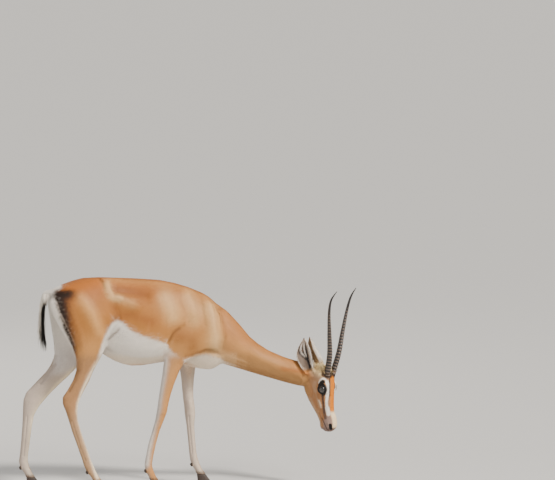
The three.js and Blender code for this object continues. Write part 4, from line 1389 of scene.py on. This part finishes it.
def tufts(name, roots, way, length, width, rise, colours, rings=1):
    """One piece of closed spikes with three sides, each a few rings and a tip. Short ones hug the skin."""
    places, normals, uv = roots
    count = len(places)
    side = np.cross(normals, way)
    side /= np.maximum(np.linalg.norm(side, axis=1), TINY)[:, None]
    rows, shares, spans = [], [], []
    for ring in range(rings + 1):
        share = ring / rings
        swell = 1.0 if rings == 1 else LOCK_SWELL[ring]
        half = (width * 0.5 * swell * (ring < rings))[:, None]
        middle = places - normals * SUNK + way * (length * share)[:, None]
        middle = middle + normals * ((rise + SUNK) * share ** 0.7)[:, None]
        if ring == rings:
            if rings == 1:
                middle = hug(middle, rise)
            rows.append(middle[:, None])
            shares.append(1.0)
            spans.append(0.0)
            continue
        for across, up in ((-1, 0), (1, 0), (0, 0.6)):
            rows.append((middle + side * half * across + normals * half * up)[:, None])
            shares.append(share)
            spans.append(across * 0.5)
    each = len(rows)
    all_places = np.concatenate(rows, axis=1).reshape(-1, 3)
    faces = [(0, 2, 1)]
    for ring in range(rings - 1):
        low, high = 3 * ring, 3 * ring + 3
        for first, second in ((0, 1), (1, 2), (2, 0)):
            faces += [(low + first, low + second, high + second), (low + first, high + second, high + first)]
    last = 3 * (rings - 1)
    faces += [(last, last + 1, each - 1), (last + 1, last + 2, each - 1), (last + 2, last, each - 1)]
    faces = np.array(faces)
    all_faces = (np.arange(count)[:, None, None] * each + faces).reshape(-1, 3)
    offset = (np.stack([spans, np.array(shares) - 0.5], axis=1) * PATCH)[None]
    vertex_uv = (uv[:, None] + offset).reshape(-1, 2)
    lighter = 1 + TIP_LIGHTER * (np.array(shares) - 0.5)
    rows = (colours[:, None] * lighter[None, :, None]).reshape(-1, 3)
    shading = np.repeat(normals, each, axis=0) if rings == 1 else None
    made = mesh_from_arrays(name, all_places, all_faces, vertex_uv[all_faces.ravel()], rows, shading)
    made.data.materials.append(hair_material)
    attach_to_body(made, "root")
    print(f"{name}: {count} tufts, {len(all_faces)} triangles")
    return made


hair_material, shader = material("coat_hair", Roughness=0.55, Specular_IOR_Level=0.3)
attach(Wire.node("ShaderNodeAttribute", {}, output="Color", attribute_name=TONE), shader, "Base Color")
print("hair material:", len(hair_material.node_tree.nodes), "nodes")

# %% The short coat
SHORT_TUFTS = {  # how many tufts each piece has
    "coat_rump": 49000,
    "coat_flank_right": 49000,
    "coat_flank_left": 49000,
    "coat_legs": 49000,
    "coat_neck": 30000,
    "coat_head": 45000,
}
HINDPART = -0.40  # the rump lies behind this x
FOREPART = 0.16  # the neck begins at this x
HEAD_START = 0.47
LEG_TOP = 0.54
WIDTH_SHARE = 0.15  # of a tuft's length
COLOUR_STRAY = 0.003  # how far off a tuft of usual width takes its colour
USUAL_WIDTH = 0.0018
WAY_STRAY = 0.10


def wild(rows, spread, lighter):
    """Colours that vary from tuft to tuft, all of them lighter by a share."""
    return rows * (1 + lighter + spread * chance.standard_normal(len(rows)))[:, None].clip(0.4, 1.5)


def short_coat(name, where):
    """A piece of the short, flat coat. The function where gives the density, and 0 elsewhere."""
    count = SHORT_TUFTS[name]
    size = hair_size(triangle_middles)
    clear = off_limits(triangle_middles) * where(triangle_middles)
    places, normals, uv = scatter(count, clear / (size[0] * size[1]))
    length, width = hair_size(places)
    way = lie_of_coat(places, normals)
    way = way + WAY_STRAY * chance.standard_normal((count, 3))
    way = way - normals * (way * normals).sum(1)[:, None]
    way /= np.linalg.norm(way, axis=1)[:, None]
    stray = COLOUR_STRAY * chance.standard_normal((count, 3)) * (width / USUAL_WIDTH)[:, None]
    colours = coat_paint(places + stray, normals).rows
    length = length * (0.8 + 0.5 * chance.random(count))
    rise = length * (0.05 + 0.05 * chance.random(count))
    return tufts(name, (places, normals, uv), way, length, width, rise, wild(colours, 0.05, 0.0))


def hair_size(points):
    """Length and width of the tufts at each point."""
    x, z = points[:, 0], points[:, 2]
    length = 0.0105 + 0.003 * ramp(-0.40, -0.52, x)
    leg = ramp(0.60, 0.48, z) * (x < 0.3)
    length = length * (1 - leg) + 0.0075 * leg
    length = length * (1 - ramp(0.10, 0.25, x)) + 0.0090 * ramp(0.10, 0.25, x)
    head = ramp(0.47, 0.51, x)
    length = length * (1 - head) + 0.0046 * head
    return length, length * WIDTH_SHARE


def off_limits(points):
    """0 on the eyes, nostrils and tail and by the hooves, 1 elsewhere."""
    clear = np.ones(len(points))
    for word in eyes:
        clear *= np.linalg.norm(points - eyes[word], axis=1) > 0.0245
    local = on_face(points)
    local[:, 1] = np.abs(local[:, 1])
    clear *= distance_to_line(local, NOSTRIL_LINE) > 0.006
    clear *= (points[:, 0] > -0.585) | (points[:, 2] < 0.60)
    return clear * (points[:, 2] > 0.045)


def on_middle(points):
    """1 on the trunk between the rump and the neck."""
    return (points[:, 0] >= HINDPART) & (points[:, 0] < FOREPART) & (points[:, 2] > LEG_TOP)


short_coat("coat_rump", lambda p: (p[:, 0] < HINDPART) & (p[:, 2] > LEG_TOP))
short_coat("coat_flank_right", lambda p: on_middle(p) & (p[:, 1] < MIDDLE_Y))
short_coat("coat_flank_left", lambda p: on_middle(p) & (p[:, 1] >= MIDDLE_Y))
short_coat("coat_legs", lambda p: (p[:, 0] < FOREPART) & (p[:, 2] <= LEG_TOP))
short_coat("coat_neck", lambda p: (p[:, 0] >= FOREPART) & (p[:, 0] < HEAD_START))
short_coat("coat_head", lambda p: p[:, 0] >= HEAD_START)

# %% [markdown]
# ## Long hair
# The crown between the horns is shaggy, and white hair lines the inside of the ears. These tufts have
# more rings, so that they swell and taper, and they stand off the skin instead of hugging it. Where they
# grow is a weight on the skin's triangles, as for the short coat.

# %% Long hair of crown and ears
CROWN_TUFTS = 1500
EAR_TUFTS = 1300


def pick(weight_of, count):
    """Roots where a function of places and normals is high."""
    triangle_normals = skin_normals[corners].mean(1)
    return scatter(count, weight_of(triangle_middles, triangle_normals))


def bell(away, width):
    """1 at the middle, falling off to both sides."""
    return np.exp(-((away / width) ** 2))


def crown_weight(points, normals):
    """How thick the hair of the crown stands at each point."""
    local = on_face(points)
    seen = quarter_view(local)
    middle = np.abs(local[:, 1])
    patch = stroke(seen, 0.020, [(-0.062, -0.040), (-0.042, -0.022)]) * (seen[:, 1] < 0.004)
    between = ramp(0.016, 0.010, middle) * ramp(0.004, -0.004, seen[:, 1]) * (seen[:, 1] > -0.06)
    return (patch + between) * (points[:, 0] > 0.50) * (middle < 0.045)


def ear_weight(word, points, normals):
    """How thick the white hair stands inside one ear: along its rims and on the pale lines."""
    share, front, inside, here = ear_place(word, points, normals)
    lines = 1.6 * bell(front - 0.78, 0.14) + 0.7 * bell(front + 0.90, 0.07)
    for line in EAR_LINES:
        place = STRIPES_MEET + (line - STRIPES_MEET) * ramp(0.30, 0.70, share)
        lines = lines + 0.8 * bell(front - place, 0.05) * ramp(0.40, 0.5, share)
    return here * lines * ramp(0.1, 0.4, inside) * ramp(0.10, 0.22, share) * ramp(0.92, 0.80, share)


roots = pick(crown_weight, CROWN_TUFTS)
way = lie_of_coat(roots[0], roots[1]) + 0.22 * chance.standard_normal((CROWN_TUFTS, 3))
way /= np.linalg.norm(way, axis=1)[:, None]
length = 0.012 + 0.008 * chance.random(CROWN_TUFTS)
colours = wild(coat_paint(roots[0], roots[1]).rows, 0.10, 0.03)
tufts("coat_crown", roots, way, length, length * 0.09, length * 0.28, colours, rings=3)

for word, plan in ear_plans.items():
    roots = pick(lambda points, normals: ear_weight(word, points, normals), EAR_TUFTS)
    way = plan.axis + 0.16 * plan.face + 0.12 * chance.standard_normal((EAR_TUFTS, 3))
    way /= np.linalg.norm(way, axis=1)[:, None]
    length = 0.007 + 0.006 * chance.random(EAR_TUFTS)
    colours = wild(np.tile(FACE_WHITE, (EAR_TUFTS, 1)), 0.08, -0.02)
    tufts("ear_hair_" + word, roots, way, length, length * 0.055, length * 0.10, colours, rings=3)

# %% [markdown]
# ## The tail's hair
# The tail is white at its root, and long black hair hangs from the rest of it. The locks grow from the
# core and hang almost straight down. Those on its rear side are pale near the top, and the tips end about
# where the frame's tail does.

# %% Tail hair
TAIL_TUFTS = 1100
TAIL_END = 0.566  # height at which the longest locks end
LOCK_WIDTH = 0.0018


def tail_weight(points, normals):
    """1 on the part of the skin that is the tail's core."""
    return (points[:, 0] < -0.578) * (points[:, 2] > 0.635) * (points[:, 2] < 0.822)


roots = pick(tail_weight, TAIL_TUFTS)
places, normals, _ = roots
swing = 0.12 * ramp(0.74, 0.66, places[:, 2]) - 0.03
stray = 0.03 * chance.standard_normal((TAIL_TUFTS, 3))
way = np.outer(swing, [1, 0, 0]) + np.array([0, 0, -1.0]) + 0.07 * normals + stray
way /= np.linalg.norm(way, axis=1)[:, None]
high = ramp(0.74, 0.80, places[:, 2])
reach = np.clip(places[:, 2] - TAIL_END, 0.03, 0.125)
long_part = reach * (0.55 + 0.45 * chance.random(TAIL_TUFTS)) * (1 - high)
length = long_part + (0.022 + 0.02 * chance.random(TAIL_TUFTS)) * high
outer_side = ramp(-0.1, -0.7, normals[:, 0]) * ramp(0.69, 0.74, places[:, 2])
pale = np.maximum(ramp(0.795, 0.815, places[:, 2]), outer_side)[:, None]
colours = WHITE * pale + tone(24, 19, 17) * (1 - pale)
rise = 0.002 + 0.004 * chance.random(TAIL_TUFTS)
width = LOCK_WIDTH + 0 * length
colours = wild(colours, 0.12, 0.0)
tail_hair = tufts("tail_locks", roots, way, length, width, rise, colours, rings=4)
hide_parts("tail")

# %% [markdown]
# ## Eyes
# A gazelle's eye is large, nearly black and wet. It is one ball with the cornea's bulge in front, dark
# brown with a long black pupil, and a glossy coat over it that mirrors the lamps.

# %% Eyes
CORNEA_BULGE = 0.0012
IRIS = 0.012  # its radius
PUPIL = (0.0085, 0.0045)  # half its length and half its height

eye_material, shader = material("eye", Roughness=0.08, Coat_Weight=1.0, Coat_Roughness=0.02)
painted = Wire.node("ShaderNodeAttribute", {}, output="Color", attribute_name=TONE)
attach(painted, shader, "Base Color")

for word, eye_middle in eyes.items():
    bpy.ops.object.select_all(action="DESELECT")
    bpy.ops.mesh.primitive_uv_sphere_add(segments=64, ring_count=40, radius=EYE_RADIUS, location=eye_middle)
    ball = bpy.context.object
    bpy.ops.object.transform_apply(location=True, rotation=True, scale=True)
    ball.name = "eyeball_" + word
    places = points_of(ball)
    nose, up, out = eye_view(word, places)
    from_axis = np.hypot(nose, up)
    bulge = CORNEA_BULGE * ramp(0.013, 0.004, from_axis) * (out > 0)
    places = places + (places - eye_middle) / EYE_RADIUS * bulge[:, None]
    place_points(ball, places)
    ball_paint = Paint(len(places), tone(16, 11, 9))
    ball_paint.over(tone(34, 20, 13), ramp(IRIS + 0.0005, IRIS - 0.0005, from_axis) * (out > 0))
    pupil = np.hypot(nose / PUPIL[0], up / PUPIL[1])
    ball_paint.over(tone(6, 6, 8), ramp(1.1, 0.9, pupil) * (out > 0))
    keep_colours(ball, ball_paint.rows)
    ball.data.materials.append(eye_material)
    only(ball)
    bpy.ops.object.shade_smooth()
    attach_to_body(ball, "root")
    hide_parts("eye_" + word)
print("eyes:", EYE_RADIUS * 2000, "mm across")

# %% [markdown]
# ## Horns
# A doe's horns are thin and ringed for most of their length. Each is a sheath of keratin that grew ring by
# ring, so the relief belongs to the shape: a grid is rolled round the horn's line, and its radius rises
# and falls with the rings, most of all in front.

# %% Horns
HORN_LINE = [  # along, across, out and radius, in the head's directions
    (0.030, 0.0205, -0.021, 0.0118),
    (0.012, 0.0220, -0.019, 0.0122),
    (-0.004, 0.0240, -0.014, 0.0122),
    (-0.089, 0.0380, 0.007, 0.0106),
    (-0.180, 0.0560, 0.016, 0.0083),
    (-0.268, 0.0750, 0.026, 0.0057),
    (-0.322, 0.0830, 0.040, 0.0040),
    (-0.360, 0.0800, 0.066, 0.0011),
]
HORN_GRID = (28, 340)  # steps round the horn and along it
HORN_RINGS = 27  # a guess, as the photograph is too coarse to count them
RING_HEIGHT = 0.17  # of the radius
RINGED_SHARE = 0.82

horn_material, shader = material("horn", Roughness=0.34, Specular_IOR_Level=0.6)
painted = Wire.node("ShaderNodeAttribute", {}, output="Color", attribute_name=TONE)
grain = stretched_noise((1, 1, 0.08), 260)
attach(brightened(painted, 0.6 + grain * 0.8), shader, "Base Color")
attach(Wire.node("ShaderNodeBump", {"Strength": 0.5, "Distance": 0.0006, "Height": grain}), shader, "Normal")

for word, side in (("left", 1), ("right", -1)):
    around_count, along_count = HORN_GRID
    line = smooth_path(HORN_LINE, along_count + 1)
    steps = np.linalg.norm(np.diff(line[:, :3], axis=0), axis=1)
    length = np.concatenate([[0], np.cumsum(steps)])
    bpy.ops.object.select_all(action="DESELECT")
    bpy.ops.mesh.primitive_grid_add(x_subdivisions=around_count, y_subdivisions=along_count, size=2)
    horn = bpy.context.object
    horn.name = "ringed_horn_" + word
    grid = points_of(horn)
    turn = (grid[:, 0] + 1) * math.pi * side
    row = np.round((grid[:, 1] + 1) / 2 * along_count).astype(int)
    share = length[row] / length[-1]
    tangent = np.gradient(line[:, :3], axis=0)
    tangent /= np.linalg.norm(tangent, axis=1)[:, None]
    front = np.array([0, 0, 1.0]) - tangent * tangent[:, 2:3]
    front /= np.linalg.norm(front, axis=1)[:, None]
    sideways = np.cross(tangent, front)
    ring_place = share / RINGED_SHARE * HORN_RINGS
    ring = (0.5 + 0.5 * np.cos(2 * math.pi * ring_place)) ** 0.7 - 0.4
    ring = ring * ramp(0.03, 0.08, share) * ramp(0.84, 0.70, share)
    forward = 0.5 + 0.5 * np.cos(turn)
    radius = line[row, 3] * (1 + RING_HEIGHT * ring * (0.45 + 0.75 * forward))
    radius = radius * (1 + 0.10 * forward)
    radius[(row == 0) | (row == along_count)] = 0
    around = front[row] * np.cos(turn)[:, None] + sideways[row] * np.sin(turn)[:, None] * 0.9
    local = line[row, :3] + around * radius[:, None]
    place_points(horn, from_face(local[:, :1], local[:, 1:2] * side, local[:, 2:3]))
    horn_paint = Paint(len(grid), tone(34, 23, 17))
    # painted shade darkens the grooves between the rings
    horn_paint.over(tone(13, 9, 8), ramp(0.15, -0.25, ring))
    # painted highlight on the fronts of the rings' crests
    horn_paint.over(tone(132, 112, 98), 0.80 * ramp(0.20, 0.58, ring) * forward)
    horn_paint.over(tone(26, 20, 17), ramp(0.72, 0.90, share))
    keep_colours(horn, horn_paint.rows)
    only(horn)
    bpy.ops.object.mode_set(mode="EDIT")
    bpy.ops.mesh.select_all(action="SELECT")
    bpy.ops.mesh.remove_doubles(threshold=2e-5)
    bpy.ops.mesh.normals_make_consistent(inside=False)
    bpy.ops.object.mode_set(mode="OBJECT")
    bpy.ops.object.shade_smooth()
    horn.data.materials.append(horn_material)
    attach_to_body(horn, "root")
    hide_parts("horn_" + word)
print("horns:", HORN_RINGS, "rings on each,", round(float(length[-1]), 3), "m long")

# %% [markdown]
# ## Hooves
# Each foot has two narrow claws of dark keratin. The frame's claws are faceted, so copies of them are
# remeshed finely and smoothed, and a bump gives them the fine level lines of growth.

# %% Hooves
CLAW_VOXEL = 0.0012

hoof_material, shader = material("hoof", Roughness=0.55)
growth = stretched_noise((0.3, 0.3, 5), 90)
cloud = stretched_noise((1, 1, 1), 60)
dark_horn = Wire.node("ShaderNodeMix", {"Factor": growth * 0.7 + cloud * 0.3}, output=2, data_type="RGBA")
dark_horn.socket.node.inputs[6].default_value = (*tone(30, 23, 20), 1)
dark_horn.socket.node.inputs[7].default_value = (*tone(74, 58, 48), 1)
attach(dark_horn, shader, "Base Color")
attach(Wire.node("ShaderNodeBump", {"Strength": 0.4, "Distance": 0.0005, "Height": growth}), shader, "Normal")

for leg in LEGS:
    for claw_side in ("inner", "outer"):
        node = f"{leg}_hoof_{claw_side}"
        claw = copy_node(node)
        claw.name = "keratin_" + node
        modify(claw, "REMESH", mode="VOXEL", voxel_size=CLAW_VOXEL, use_smooth_shade=True)
        modify(claw, "SMOOTH", factor=0.5, iterations=5)
        claw.data.materials.clear()
        claw.data.materials.append(hoof_material)
        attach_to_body(claw, "root")
        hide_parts(node)
print("hooves:", 2 * len(LEGS), "claws")

# %% [markdown]
# ## The floor, and the sizes
# The floor is a plain, matt, pale sheet, so that nothing competes with the animal. Last, the box of what is
# seen is measured.

# %% Floor material
floor_material, shader = material("floor", Roughness=0.8, Base_Color=(0.62, 0.60, 0.57, 1))
floor.data.materials.append(floor_material)
print("floor material:", len(floor_material.node_tree.nodes), "nodes")

# %% Finish
low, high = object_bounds()
